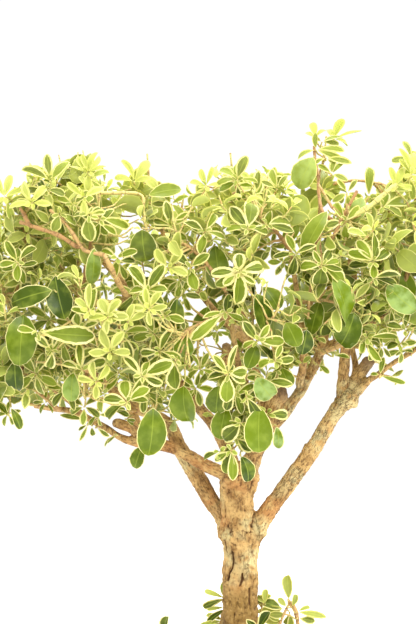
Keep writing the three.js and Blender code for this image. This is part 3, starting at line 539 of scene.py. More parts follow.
# The crown's outline, clockwise from its left, as (across, down); it runs on past both sides of the picture.
CROWN_OUTLINE = (
    (-400, 200), (-60, 196), (0, 182), (6, 188), (14, 186), (19, 174), (26, 160), (66, 153), (88, 146),
    (106, 158), (113, 183), (122, 183), (126, 158), (144, 162), (153, 176), (170, 184), (187, 188),
    (196, 184), (199, 168), (216, 162), (236, 159), (256, 158), (290, 172), (306, 164), (334, 164),
    (340, 184), (358, 190), (374, 193), (388, 182), (396, 158), (404, 146), (420, 142), (480, 138),
    (900, 138), (900, 352), (416, 352), (400, 387), (384, 386), (366, 374), (344, 364), (318, 378),
    (300, 386), (292, 412), (285, 453), (258, 451), (246, 476), (226, 482), (212, 460), (214, 416),
    (188, 430), (160, 452), (140, 438), (118, 429), (100, 422), (84, 417), (60, 412), (18, 414),
    (-60, 424), (-400, 420),
)

# Leaves of the suckers: how pale they are from 0 to 1, then as in the known places above
SUCKER_SPRIGS = {
    "left_sucker": {
        "sliver": (0.2, 223, 597, 8, (354, 9, 4)),
        "pale_blade": (1.0, 226, 599, 8.5, (298, 14, 3.2)),
        "level": (0.1, 226, 598.5, 8, (258, 14, 4.8)),
        "small_pale": (0.8, 225, 608, 8, (281, 9, 3)),
        "hanging": (0.0, 226, 609, 8, (246, 12, 4.8)),
        "low": (0.7, 224, 621, 8.5, (272, 15, 4.4), (300, 11, 4), (240, 12, 5)),
    },
    "far_left_sucker": {
        "tip": (0.1, 164.5, 637, -3, (355, 10.5, 7.5), (60, 8, 5), (290, 8, 5)),
        "side": (0.4, 166, 646, -5, (70, 8, 4.5), (280, 8, 4.5)),
    },
    "right_sucker": {
        "pale_tip": (0.7, 265.5, 604, 2, (355, 8, 4.5), (318, 6, 4)),
        "folded": (0.1, 254, 600.5, 8.5, (97, 14.5, 7.5), (64, 9, 4.5)),
        "cream": (0.9, 254, 612, 8, (80, 15, 6)),
        "cream_low": (0.8, 255, 617, 8, (98, 14, 6)),
        "edged": (0.5, 266, 615, -2, (80, 9, 5), (110, 7, 4)),
        "front": (0.0, 258, 631, -13, (24, 11.5, 8.5), (95, 9, 5), (320, 8, 5)),
    },
    "far_right_sucker": {
        "upright": (0.65, 288.6, 600, -5, (358, 12.5, 7)),
        "cup_left": (0.8, 287, 607, -6, (316, 6, 4)),
        "cup_right": (0.5, 291.5, 607, -6, (28, 6.5, 4)),
        "blade": (0.75, 297, 612, -6, (88, 14, 4.4), (60, 7, 3.5)),
        "low_right": (0.3, 298, 618, -7, (98, 8.5, 5)),
        "inside": (0.3, 290, 612, -3, (175, 7.5, 4.5), (200, 8, 4)),
    },
}
SUCKER_TWIGS = {
    "far_right_sucker": {
        "right_leg": (
            1.3, (290, 603, -4), (293.6, 606, -4.4), (296.4, 614, -5), (298, 625, -6), (299, 645, -6),
            (300, 670, -7), (300.5, 696, -8),
        ),
        "tip": (0.8, (289, 605, -4), (288.4, 599, -4.6)),
    },
}

# ---- Leaf and shoot growth ----

SEED = 7
SHOOTS_PER_SPRAY = 17
GOLDEN_TURN = 2.39996  # radians from one shoot to the next
STEM_RADIUS = 1.2
LEAF_SCARS = 7  # from ring to ring up a twig
BROAD_SHARE = 0.15  # of the shoots that carry plain broad leaves
LEAF_NODES = 4  # pairs of leaves on a shoot
# The two kinds of leaf. Width and widest place are shares of the length, taper and blunt shape the foot and
# the tip, fold and arch are in radians, gap lies between pairs, and youngest is a share of a grown leaf.
EDGED = {"length": (10, 15), "ratio": (0.44, 0.56), "widest": (0.52, 0.7), "taper": (0.8, 1.15),
         "blunt": (0.42, 0.74), "fold": (0.15, 0.8), "arch": (0.3, 1.5), "thickness": 0.4, "rim": (0.5, 1.05),
         "gap": (2.2, 3.6), "youngest": 0.5}
BROAD = {"length": (14, 21), "ratio": (0.58, 0.74), "widest": (0.48, 0.62), "taper": (0.6, 0.85),
         "blunt": (0.44, 0.62), "fold": (0.05, 0.4), "arch": (0.4, 1.4), "thickness": 0.5, "rim": (0.2, 0.4),
         "gap": (4, 6), "youngest": 0.62}
FULL_RIM = 6  # width of a leaf from which its rim is full
LEAF_TWIST = 0.65
LEAF_RIPPLE = {"most": 0.1, "along": 14, "across": 1.5, "start": 40}
# Pairs down a shoot: how far each stands out, leans, lifts, grows and ages, and how the gaps widen
PAIRS = {"roll": 0.3, "lean": (26, 19), "sway": 0.2, "lift": (0.15, 0.7), "size": (0.88, 1.1), "growth": 0.24,
         "stalk": 0.5, "younger": 0.3, "bud_width": 0.85, "widening": 0.4, "lowest": 0.25}
# Leaves of a sprig in a known place: how they lean and turn to the viewer, and start off its twig
SPRIG = {"forward": (0.1, 0.6), "lift": (-0.1, 0.8), "turn": (-0.5, 0.5), "stalk": 0.8, "twig_rise": 0.4}
SPARSE_DEPTH = -40  # sprigs farther back than this keep to their known leaves
NEAR_DEPTH = -65  # edged sprigs nearer than this carry a wider rim
WIDER_RIM = 1.45
# Small young leaves in the middle of an edged sprig, and lower leaves behind it
HEART = {"leaves": 3, "sway": 30, "length": 4.5, "width": 2.6, "younger": 0.35, "lean": 1.3}
BEHIND = {"leaves": 4, "sway": 0.3, "back": (2.5, 5), "forward": (-0.5, 0.3), "sinks": 0.35,
          "length": (9, 13), "lift": (0.1, 1), "age": 0.6}
FILLING = {"leaves": 5, "sway": 15, "ratio": 0.5}
YOUNG_AND_LIT_TOP = {"from_height": 292, "over": 40, "age": 0.3}  # known leaves grow younger and paler up the crown: partly new growth, partly painted light on the lit top
# How young the leaves of each table are, from 0 to 1
AGES = {"broad": 0, "edged": 0.08, "young": 0.75, "filling": 0.15}
# Short leafy shoots up the limbs
SPURS = {"from_height": 212, "apart": 15, "length": 7, "leaf": (7.5, 12), "sway": 0.6, "sunk": 0.6,
         "ahead": 0.4, "rise": 0.3, "age": 0.4, "nodes": 2, "radii": (0.7, 0.6, 0.4)}
# Twigs: radii, how they leave their carrier and arrive, and the joints they bend at
TWIG = {"tip": 0.42, "on_stem": (1.1, 0.6), "on_wood": 1.0, "foot": 0.75, "set_back": 6, "prefers_wood": 0.8,
        "along": 0.2, "towards": 0.25, "arrives": 0.4, "joint": 3.5, "joints": (5, 10), "wobble": 0.35}
BARE_TAPER = 0.7
# Shoots that fill a branchlet: where they end, the way they grow, and how young they are; younger and paler
# leaves at the top and towards the viewer are partly new growth and partly painted light
FILL = {"sway": 0.4, "reach": (0.5, 0.98), "out": 0.8, "rise": 0.55, "wander": 0.2, "straight": 6,
        "tip": 0.38, "age": 0.4, "top": (280, 55, 0.55), "front": (45, 25, 0.25)}
# A branchlet's stem: knee and rise on the way to its middle, and how it runs on beyond
STEM = {"knee": 0.5, "rise": 0.12, "ahead": 0.4, "up": 0.5, "beyond": 0.5, "points": 9,
        "taper": 0.45}
LEAF_SPOTS = (0.3, 0.65, 1.0)  # along a leaf, where it is tested for room; the second also at its sides
WINDOW_MARGIN = 1.1  # share of a window's area that leaves keep clear of
SHOWN_DEPTH = 6  # leaves stay this far behind what is kept in view
SHOWN_WIDTH = {"limb": 2.2, "twig": 3}  # of the band kept in view, in radii
BLADE_STATIONS = (0, 0.1, 0.27, 0.46, 0.64, 0.81, 0.94, 1)
BLADE_COLUMNS = (-1, -0.55, 0, 0.55, 1)
# Where a blade lies in its cell of the baked image, and a tube in its own
BLADE_CELL = {"left": 0.02, "half": 0.23, "under": 0.5, "bottom": 0.03, "height": 0.94}
BAKED_SHARE = 0.94
TUBE_ENDS = (0.3, 0.5)  # how far the closed foot and tip of a tube stand out, in radii
SHARP_EDGE = math.radians(65)
STEM_STEP = 3
SUCKER_SEEDS = 100  # first of the numbers that seed the suckers' growth
KNOTS = {"swell": 0.16, "apart": 1.9}
YOUNG_TONES = 0.75  # twigs whose tone isn't known take one from 0 to this
TWIG_SIDES = 6

# ---- Bark relief ----

BARK_CELL = 0.74
# Flakes widen with the limb's radius, and lie over slow lumps with grit; flakes, lumps and grits are depths
RELIEF = {"flake": (1.2, 0.22), "flake_length": 1.8, "gap": 0.3, "gap_level": 0.7, "flakes": 0.42,
          "lumps": 0.8, "lump": (6, 6, 8), "grits": 0.42, "grit": (1.5, 1.5, 2), "full_radius": 9,
          "least": 0.3, "flaking": 0.9}
LUMP_NOISE = (0.9, 2.1, 3)  # roughness, gap between octaves, octaves
LIMB_STEP = 1.5
LIMB_GAP = 37  # between limbs, in the pattern along them
THIN_LIMB = {"sides": 9, "gap": 50, "wobble": 0.12, "pace": 0.35, "start": 5.3}
SKIN_SIDES = 16
SWELLING_DETAIL = 3
BATCHES = 40  # parts in which points are matched to limbs
CRACK_FORM = {"front": (-2, 3), "spread": 0.55, "step": 0.7}
PATCH_FORM = (1.6, 1.2)  # level at a patch's middle, and fall by its reach

# ---- Pot and soil, as in the frame ----

POT = {"length": 188, "depth": 138, "corner": 15, "foot_height": 7, "height": 60, "wall": 7, "floor": 8,
       "lip_out": 4, "lip_height": 9, "draft": 0.9, "drain_radius": 8, "drain_spacing": 88, "least_corner": 2}
# The pot's section, from its outer bottom over the lip to its floor: level and height above it (or share of
# the side), then the face it lies on and how far out from that
POT_SECTION = (
    ("foot", 0, "wall", -2.2), ("foot", 0.4, "wall", -0.7), ("foot", 1.8, "wall", 0),
    ("side", 0.25, "wall", 0), ("side", 0.5, "wall", 0), ("side", 0.75, "wall", 0), ("side", 0.98, "wall", 0),
    ("lip", 0, "wall", 0.6), ("lip", 0, "rim", -1), ("lip", 1, "rim", -0.1), ("lip", 3, "rim", 0),
    ("top", -1.6, "rim", 0), ("top", -0.5, "rim", -0.5), ("top", 0, "rim", -1.7),
    ("top", 0, "inside", 1.4), ("top", -0.5, "inside", 0.3), ("top", -1.6, "inside", 0),
    ("floor", 2, "inside", 0), ("floor", 0.6, "inside", -0.6), ("floor", 0, "inside", -2),
)
FOOT = {"length": 34, "depth": 28, "corner": 6, "inset": 5}
# A foot's section: how far out, and height; it runs up into the pot
FOOT_SECTION = ((-1, 0), (-0.3, 0.3), (0, 1), (0, POT["foot_height"]), (0, POT["foot_height"] + 1))
CORNER_STEPS = 8
DRAIN_SIDES = 40
POT_EDGE = math.radians(40)
GRANULE = {"spacing": 3.8, "radius": (1.2, 2.5), "margins": (1.5, 1), "shift": 1.3, "form": (0.7, 1.1),
           "rough": 0.09, "sunk": 0.25, "above": 25, "detail": 2, "from_above": 10}

# ---- Studio, in metres ----

FLOOR_RADIUS = 1.2
FLOOR_SIDES = 96
FLOOR_GAP = 0.0001
AIM = (0, 0, 240)  # millimetres from the root of the tree
# Softboxes round the tree: place, side, and share of the softboxes' power
SOFTBOXES = {
    "top_softbox": ((0.05, 0.2, 1.05), 0.9, 1.0),
    "right_softbox": ((0.75, 0.2, 0.6), 0.5, 0.7),
    "left_softbox": ((-0.75, 0.25, 0.5), 0.5, 0.35),
    "front_softbox": ((0.35, -0.8, 1.0), 0.7, 1.0),
}
CLIP_START = 0.01
BOUNCES = {"max_bounces": 5, "diffuse_bounces": 3, "glossy_bounces": 2, "transmission_bounces": 4}


# ---- Small tools ----


def linear(code):
    """The linear red, green and blue of an sRGB hex value."""
    shares = (int(code[i : i + 2], 16) / 255 for i in (0, 2, 4))
    return tuple(c / 12.92 if c <= 0.04045 else ((c + 0.055) / 1.055) ** 2.4 for c in shares)


def unit(vector):
    return vector / np.linalg.norm(vector)


def share_of(value, start, span):
    """How far a value is through a span, from 0 to 1."""
    return np.clip((value - start) / span, 0, 1)


def from_picture(across, down, depth):
    """The place in the frame of a pixel at a depth from the trunk."""
    spread = MM_PER_PIXEL * (depth - EYE[1]) / -EYE[1]
    x = EYE[0] + (across - PICTURE_WIDTH / 2) * spread
    return np.array((x, depth, EYE[2] + (PICTURE_HEIGHT / 2 - down) * spread)) + PLANTING


def to_picture(places):
    """Pixels across and down, and the depth from the trunk, of places in the frame."""
    local = np.asarray(places) - PLANTING - EYE
    spread = MM_PER_PIXEL * local[..., 1] / -EYE[1]
    across = PICTURE_WIDTH / 2 + local[..., 0] / spread
    return np.stack((across, PICTURE_HEIGHT / 2 - local[..., 2] / spread, local[..., 1] + EYE[1]), -1)


def lengths_along(path):
    """How far along a path each of its points lies."""
    return np.concatenate(([0], np.cumsum(np.linalg.norm(np.diff(path, axis=0), axis=1))))


def smooth_path(points, step):
    """Rows about `step` apart on a centripetal Catmull-Rom curve through rows that start with x, y and z."""
    rows = np.array(points, float)
    rows = np.vstack((2 * rows[0] - rows[1], rows, 2 * rows[-1] - rows[-2]))
    found = []
    for four in (rows[i : i + 4] for i in range(len(rows) - 3)):
        knots = np.concatenate(([0], np.cumsum(np.linalg.norm(np.diff(four[:, :3], axis=0), axis=1) ** 0.5)))
        count = max(2, round(np.linalg.norm(four[2, :3] - four[1, :3]) / step))
        s = np.linspace(knots[1], knots[2], count, endpoint=False)[:, None]
        level = list(four)
        for width in (1, 2, 2):
            spans = [(knots[i], knots[i + width]) for i in range(len(level) - 1)]
            if len(level) == 2:
                spans = [(knots[1], knots[2])]
            level = [((b - s) * p + (s - a) * q) / (b - a) for (a, b), p, q in zip(spans, level, level[1:])]
        found.append(level[0])
    return np.vstack((*found, rows[-2][None]))


def frames_along(path):
    """Tangents and two side directions at each point of a path, turning as little as they can."""
    tangents = np.gradient(path, axis=0)
    tangents /= np.linalg.norm(tangents, axis=1)[:, None]
    side = np.cross(tangents[0], UP if abs(tangents[0] @ UP) < 0.9 else TO_VIEWER)
    sides = []
    for tangent in tangents:
        side = unit(side - tangent * (side @ tangent))
        sides.append(side)
    return tangents, np.array(sides), np.cross(tangents, sides)


def bow(start, away, near, end, count):
    """A path from start to end that sets out towards `away` and comes in from `near`."""
    t = np.linspace(0, 1, count)[:, None]
    return (1 - t) ** 3 * start + 3 * t * (1 - t) ** 2 * away + 3 * t**2 * (1 - t) * near + t**3 * end


def nearest(places, target):
    """The index of the place that is nearest a target, and how far it is."""
    gaps = np.linalg.norm(places - target, axis=1)
    index = int(gaps.argmin())
    return index, gaps[index]


def unit_ball(detail):
    """The points and faces of a ball of radius 1."""
    ball = bmesh.new()
    bmesh.ops.create_icosphere(ball, subdivisions=detail, radius=1)
    points = np.array([v.co for v in ball.verts])
    faces = [[v.index for v in face.verts] for face in ball.faces]
    ball.free()
    return points, faces


class Shell:
    """A mesh in the making: points, faces with a paint number each, and what its materials read."""

    def __init__(self):
        self.points, self.faces, self.paints, self.wraps, self.values = [], [], [], [], {}
        self.size = 0

    def add(self, points, faces, paint=0, wrap=None, **values):
        """Adds points and faces; wrap holds a place on the baked image for each corner of each face."""
        start = self.size
        self.points.append(points)
        self.faces += [tuple(start + corner for corner in face) for face in faces]
        self.paints += [paint] * len(faces)
        self.size += len(points)
        if wrap is not None:
            self.wraps.append(wrap)
        for name, rows in values.items():
            self.values.setdefault(name, []).append(rows)

    def to_mesh(self, name):
        mesh = bpy.data.meshes.new(name)
        mesh.from_pydata((np.concatenate(self.points) * MM).tolist(), [], self.faces)
        mesh.polygons.foreach_set("material_index", self.paints)
        for key, rows in self.values.items():
            layer = mesh.attributes.new(key, "FLOAT_VECTOR", "POINT")
            layer.data.foreach_set("vector", np.concatenate(rows).astype(np.float32).ravel())
        if self.wraps:
            layer = mesh.uv_layers.new(name="OFBake")
            layer.uv.foreach_set("vector", np.concatenate(self.wraps).astype(np.float32).ravel())
        mesh.shade_smooth()
        mesh.set_sharp_from_angle(angle=SHARP_EDGE)
        return mesh


def link_object(name, data):
    """A new object in the scene."""
    made = bpy.data.objects.new(name, data)
    bpy.context.scene.collection.objects.link(made)
    return made


def bmesh_to_mesh(name, made):
    """The mesh of a bmesh, which is freed."""
    mesh = bpy.data.meshes.new(name)
    made.to_mesh(mesh)
    made.free()
    return mesh


def add_piece(name, mesh, materials, slot, *nodes):
    """Shows a mesh as a piece that rides on the part and stands for the named nodes."""
    piece = link_object(name, mesh)
    for material in materials:
        mesh.materials.append(material)
    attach(piece, "root")
    if nodes:
        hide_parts(*nodes)


def finish_node(name, material):
    """Gives a node of the frame that shows as it is its material."""
    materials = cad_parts[name].data.materials
    materials.clear()
    materials.append(material)


def applied(mesh, *modifiers):
    """A mesh with modifiers applied, each a type with its settings."""
    carrier = link_object("carrier", mesh)
    for kind, settings in modifiers:
        modifier = carrier.modifiers.new(kind, kind)
        for key, value in settings.items():
            setattr(modifier, key, value)
    graph = bpy.context.evaluated_depsgraph_get()
    made = bpy.data.meshes.new_from_object(carrier.evaluated_get(graph))
    bpy.data.objects.remove(carrier)
    return made


def add_tube(shell, path, radii, sides, cells=1, cell=0, tone=0.0):
    """Adds a round closed tube. Its values are its radius, the distance along it and a tone."""
    tangents, first, second = frames_along(path)
    turns = np.arange(sides) / sides * 2 * math.pi
    ring = np.cos(turns)[None, :, None] * first[:, None] + np.sin(turns)[None, :, None] * second[:, None]
    points = (path[:, None] + ring * np.asarray(radii)[:, None, None]).reshape(-1, 3)
    sunk, raised = (radii[i] * share for i, share in zip((0, -1), TUBE_ENDS))
    ends = np.stack((path[0] - tangents[0] * sunk, path[-1] + tangents[-1] * raised))
    foot, top = len(points), len(points) + 1
    faces, wrap = [], []
    left, bottom, size = cell % cells / cells, cell // cells / cells, BAKED_SHARE / cells
    last = len(path) - 1
    for i in range(last):
        for j in range(sides):
            k = (j + 1) % sides
            faces.append((i * sides + j, i * sides + k, (i + 1) * sides + k, (i + 1) * sides + j))
            wrap += [(left + x / sides * size, bottom + y / last * size)
                     for x, y in ((j, i), (j + 1, i), (j + 1, i + 1), (j, i + 1))]
    for j in range(sides):
        k = (j + 1) % sides
        faces += [(foot, k, j), (top, last * sides + j, last * sides + k)]
        for y in (0, 1):
            wrap += [(left + x / sides * size, bottom + y * size) for x in (j + 0.5, j + 1, j)]
    grain = np.column_stack((radii, lengths_along(path), np.full(len(path), tone))).repeat(sides, 0)
    grain = np.vstack((grain, grain[0], grain[-1]))
    shell.add(np.vstack((points, ends)), faces, 0, wrap, twig=grain)


# ---- Wood ----


def planted(points):
    return np.array(points, float) + np.append(PLANTING, 0)


LIMBS = {name: smooth_path(planted(points), LIMB_STEP) for name, points in WOOD.items()}
LEAFY_WOOD = np.vstack([limb[:, :3] for limb in LIMBS.values()])
LEAFY_WOOD = LEAFY_WOOD[LEAFY_WOOD[:, 2] > BARE_TO]


def wood_skin(cell):
    """One closed skin of cells over the trunk, roots and limbs down to the thick ones' ends."""
    shell = Shell()
    for limb in (*LIMBS.values(), smooth_path(planted(PRUNED_PEG), LIMB_STEP)):
        thick = int((limb[:, 3] >= THICK).sum())
        if thick > 2:
            radii = limb[:thick, 3]
            add_tube(shell, limb[:thick, :3], radii + SHRINKAGE / radii, SKIN_SIDES)
    ball, faces = unit_ball(SWELLING_DETAIL)
    for *centre, radius in SWELLINGS.values():
        shell.add(ball * radius + centre + PLANTING, faces)
    shell.wraps, shell.values = [], {}
    return applied(
        shell.to_mesh("wood"),
        ("REMESH", {"mode": "VOXEL", "voxel_size": cell, "use_smooth_shade": True}),
        ("SMOOTH", {"factor": 0.5, "iterations": EASING}),
    )


def limb_coordinates(points):
    """Each point's place beside its nearest limb (two ways across, one along) and that limb's radius."""
    rows = []
    reach = 0.0
    for limb in LIMBS.values():
        along = reach + lengths_along(limb[:, :3])
        rows.append(np.column_stack((limb, *frames_along(limb[:, :3]), along)))
        reach = along[-1] + LIMB_GAP
    rows = np.vstack(rows)
    tangent, first, second, along = 4, 7, 10, 13  # columns
    found = []
    for part in np.array_split(points, BATCHES):
        gaps = np.linalg.norm(part[:, None] - rows[None, :, :3], axis=2) - rows[None, :, 3]
        near = rows[gaps.argmin(axis=1)]
        away = part - near[:, :3]
        beside, over, on = (np.einsum("ij,ij->i", away, near[:, i : i + 3]) for i in (first, second, tangent))
        found.append(np.column_stack((beside, over, near[:, along] + on, near[:, 3])))
    return np.vstack(found)


def bark_relief(grain):
    """How far the bark stands out at each point: flakes with cracks between them, over slow lumps."""
    least, slope = RELIEF["flake"]
    heights = []
    for x, y, along, radius in grain:
        across = least + slope * radius
        flake = noise.voronoi(Vector((x / across, y / across, along / (RELIEF["flake_length"] * across))))[0]
        crack = min(1.0, (flake[1] - flake[0]) / RELIEF["gap"])
        place = np.array((x, y, along))
        slow, fine = (Vector(place / RELIEF[key]) for key in ("lump", "grit"))
        height = RELIEF["flakes"] * (crack - RELIEF["gap_level"])
        height += RELIEF["lumps"] * noise.fractal(slow, *LUMP_NOISE)
        height += RELIEF["grits"] * noise.noise(fine)
        heights.append(height * min(1.0, max(RELIEF["least"], radius / RELIEF["full_radius"])))
    return np.array(heights)


def crack_strength(points, depth):
    """How deep each point lies in a crack of the trunk's front, up to a depth."""
    seen = to_picture(points)
    front = share_of(-seen[:, 2], *CRACK_FORM["front"])
    strength = np.zeros(len(points))
    for width, share, *line in CRACKS.values():
        line = smooth_path([(x, y, 0) for x, y in line], CRACK_FORM["step"])[:, :2]
        away = np.linalg.norm(seen[:, None, :2] - line, axis=2).min(axis=1) * MM_PER_PIXEL
        fall = np.exp(-((away / (CRACK_FORM["spread"] * width)) ** 2))
        strength = np.maximum(strength, share * fall * front)
    return depth * strength


def patch_strength(points, patches):
    """How strongly each point shows the nearest of some patches, from 0 to 1."""
    level, fall = PATCH_FORM
    strength = np.zeros(len(points))
    for *centre, reach in patches.values():
        gaps = np.linalg.norm(points - (np.array(centre) + PLANTING), axis=1)
        strength = np.maximum(strength, np.clip(level - fall * gaps / reach, 0, 1))
    return strength


def bark_mesh(sizes):
    """The skin of the wood with its relief, cracks and marks, and the slender ends of limbs."""
    mesh = wood_skin(sizes.bark_cell)
    found = {}
    for key in ("co", "normal"):
        found[key] = np.empty(len(mesh.vertices) * 3)
        mesh.vertices.foreach_get(key, found[key])
    points = found["co"].reshape(-1, 3) / MM
    grain = limb_coordinates(points)
    relief = bark_relief(grain) * (1 + RELIEF["flaking"] * patch_strength(points, FLAKING))
    relief = relief - crack_strength(points, sizes.crack_depth / MM)
    moved = points + found["normal"].reshape(-1, 3) * relief[:, None]
    shell = Shell()
    faces = [tuple(face.vertices) for face in mesh.polygons]
    state = np.column_stack((relief, grain[:, 3], patch_strength(points, CUT_ENDS)))
    # Marks: pale patches, partly bleached bark and partly painted light; ruddy patches; darkening towards the
    # bottom of the trunk
    low_dark = np.interp(points[:, 2], LOW_DARKENING[::-1], (1, 0))
    marks = np.column_stack((patch_strength(points, BLEACHED_AND_LIT), patch_strength(points, RUDDY), low_dark))
    shell.add(moved, faces, grain=grain[:, :3], state=state, marks=marks)
    for index, limb in enumerate(LIMBS.values()):
        thick = int((limb[:, 3] >= THICK).sum())
        thin = limb[max(0, thick - 2) :: 2]
        if len(thin) > 2 and thick < len(limb):
            add_thin_limb(shell, thin, index)
    return shell.to_mesh("woody_frame_bark")


def add_thin_limb(shell, limb, index):
    """Adds the slender end of a limb, with the same values as the thick wood's skin."""
    rod = Shell()
    start, pace = THIN_LIMB["start"], THIN_LIMB["pace"]
    wobble = [noise.noise(Vector((index * start, 0, i * pace))) for i in range(len(limb))]
    add_tube(rod, limb[:, :3], limb[:, 3] * (1 + THIN_LIMB["wobble"] * np.array(wobble)), THIN_LIMB["sides"])
    twig = rod.values["twig"][0]
    points = rod.points[0]
    none = np.zeros(len(points))
    grain = np.column_stack((points[:, 0], points[:, 1], twig[:, 1] + THIN_LIMB["gap"] * index))
    state = np.column_stack((none, twig[:, 0], none))
    shell.add(points, rod.faces, grain=grain, state=state, marks=np.zeros((len(points), 3)))


# ---- Leaves ----


class Leaf(NamedTuple):
    """One leaf: where it springs from and which way, its size and form, and its colouring."""

    base: np.ndarray
    axis: np.ndarray
    normal: np.ndarray
    length: float
    width: float
    widest: float
    taper: float
    blunt: float
    fold: float
    arch: float
    twist: float
    ripple: float
    thickness: float
    tone: float
    age: float
    rim: float
    broad: bool


def blade_pattern():
    """A unit leaf: points as (across, along, side), faces, and a wrap for each corner of them."""
    points = [(0, 0, 0)]
    bands = {1: [], -1: []}
    for along in BLADE_STATIONS[1:-1]:
        upper = [len(points) + i for i in range(len(BLADE_COLUMNS))]
        points += [(x, along, 0 if abs(x) == 1 else 1) for x in BLADE_COLUMNS]
        inner = [len(points) + i for i in range(len(BLADE_COLUMNS) - 2)]
        points += [(x, along, -1) for x in BLADE_COLUMNS[1:-1]]
        bands[1].append(upper)
        bands[-1].append([upper[0], *inner, upper[-1]])
    tip = len(points)
    points.append((0, 1, 0))
    faces, wrap = [], []
    for side, rows in bands.items():
        found = []
        for i in range(len(BLADE_COLUMNS) - 1):
            found.append((0, rows[0][i + 1], rows[0][i]))
            found += [(a[i], a[i + 1], b[i + 1], b[i]) for a, b in zip(rows, rows[1:])]
            found.append((rows[-1][i], rows[-1][i + 1], tip))
        left, bottom = BLADE_CELL["left"] + (BLADE_CELL["under"] if side < 0 else 0), BLADE_CELL["bottom"]
        for face in found:
            face = face[::side]
            for corner in face:
                across, along, _ = points[corner]
                wrap.append((left + BLADE_CELL["half"] * (across + 1), bottom + BLADE_CELL["height"] * along))
            faces.append(face)
    return np.array(points, float), faces, np.array(wrap)


BLADE_POINTS, BLADE_FACES, BLADE_WRAP = blade_pattern()


def blade_places(leaves):
    """The points of many leaves at once, and the values that their materials read."""
    across, along, side = BLADE_POINTS.T
    part = {key: np.array([getattr(leaf, key) for leaf in leaves]) for key in Leaf._fields}
    one = {key: rows[:, None] for key, rows in part.items() if rows.ndim == 1}
    base, axis, normal = (part[key][:, None] for key in ("base", "axis", "normal"))
    beside = np.cross(axis, normal)
    narrowing = along < one["widest"]
    share = np.where(narrowing, along / one["widest"], (1 - along) / (1 - one["widest"]))
    half = one["width"] / 2 * np.sin(math.pi / 2 * share) ** np.where(narrowing, one["taper"], one["blunt"])
    turn = one["arch"] * along
    ahead = one["length"] * np.sin(turn) / one["arch"]
    drop = one["length"] * (1 - np.cos(turn)) / one["arch"]
    lifted = normal * np.cos(turn)[..., None] + axis * np.sin(turn)[..., None]
    twist = (one["twist"] * along)[..., None]
    crosswise = beside * np.cos(twist) + lifted * np.sin(twist)
    outward = lifted * np.cos(twist) - beside * np.sin(twist)
    phase = along * LEAF_RIPPLE["along"] + one["tone"] * LEAF_RIPPLE["start"] + across * LEAF_RIPPLE["across"]
    rise = np.abs(across) * half * (np.sin(one["fold"]) + one["ripple"] * np.sin(phase))
    rise = rise + side * one["thickness"] / 2 * (1 - across**2)
    sideways = across * half * np.cos(one["fold"])
    points = base + axis * ahead[..., None] - normal * drop[..., None]
    points = points + crosswise * sideways[..., None] + outward * rise[..., None]
    margin = (1 - np.abs(across)) * half
    under = np.broadcast_to(side < 0, half.shape)
    blade = np.stack((margin, np.abs(across) * half, under), -1)
    kind = np.stack([np.broadcast_to(one[key], half.shape) for key in ("tone", "age", "rim")], -1)
    return points.reshape(-1, 3), blade.reshape(-1, 3), kind.reshape(-1, 3)


def add_leaves(shell, leaves):
    """Adds leaves to a shell: edged leaves take its first paint and broad ones its second."""
    cells = math.ceil(math.sqrt(len(leaves)))
    points, blade, kind = blade_places(leaves)
    size = len(BLADE_POINTS)
    for index, leaf in enumerate(leaves):
        rows = slice(index * size, (index + 1) * size)
        wrap = (BLADE_WRAP + (index % cells, index // cells)) / cells
        shell.add(points[rows], BLADE_FACES, int(leaf.broad), wrap, blade=blade[rows], kind=kind[rows])


def grow_leaf(rng, base, axis, facing, length, width, form, age):
    """A leaf of a form, with its upper side towards `facing`."""
    axis = unit(axis)
    normal = unit(facing - axis * (facing @ axis))
    drawn = {key: rng.uniform(*form[key]) for key in ("widest", "taper", "blunt", "fold", "arch", "rim")}
    drawn["rim"] *= min(1.0, width / FULL_RIM)
    return Leaf(
        base, axis, normal, length, width, twist=rng.uniform(-LEAF_TWIST, LEAF_TWIST),
        ripple=rng.uniform(0, LEAF_RIPPLE["most"]), tone=rng.uniform(), age=age,
        thickness=form["thickness"], broad=form is BROAD, **drawn,
    )


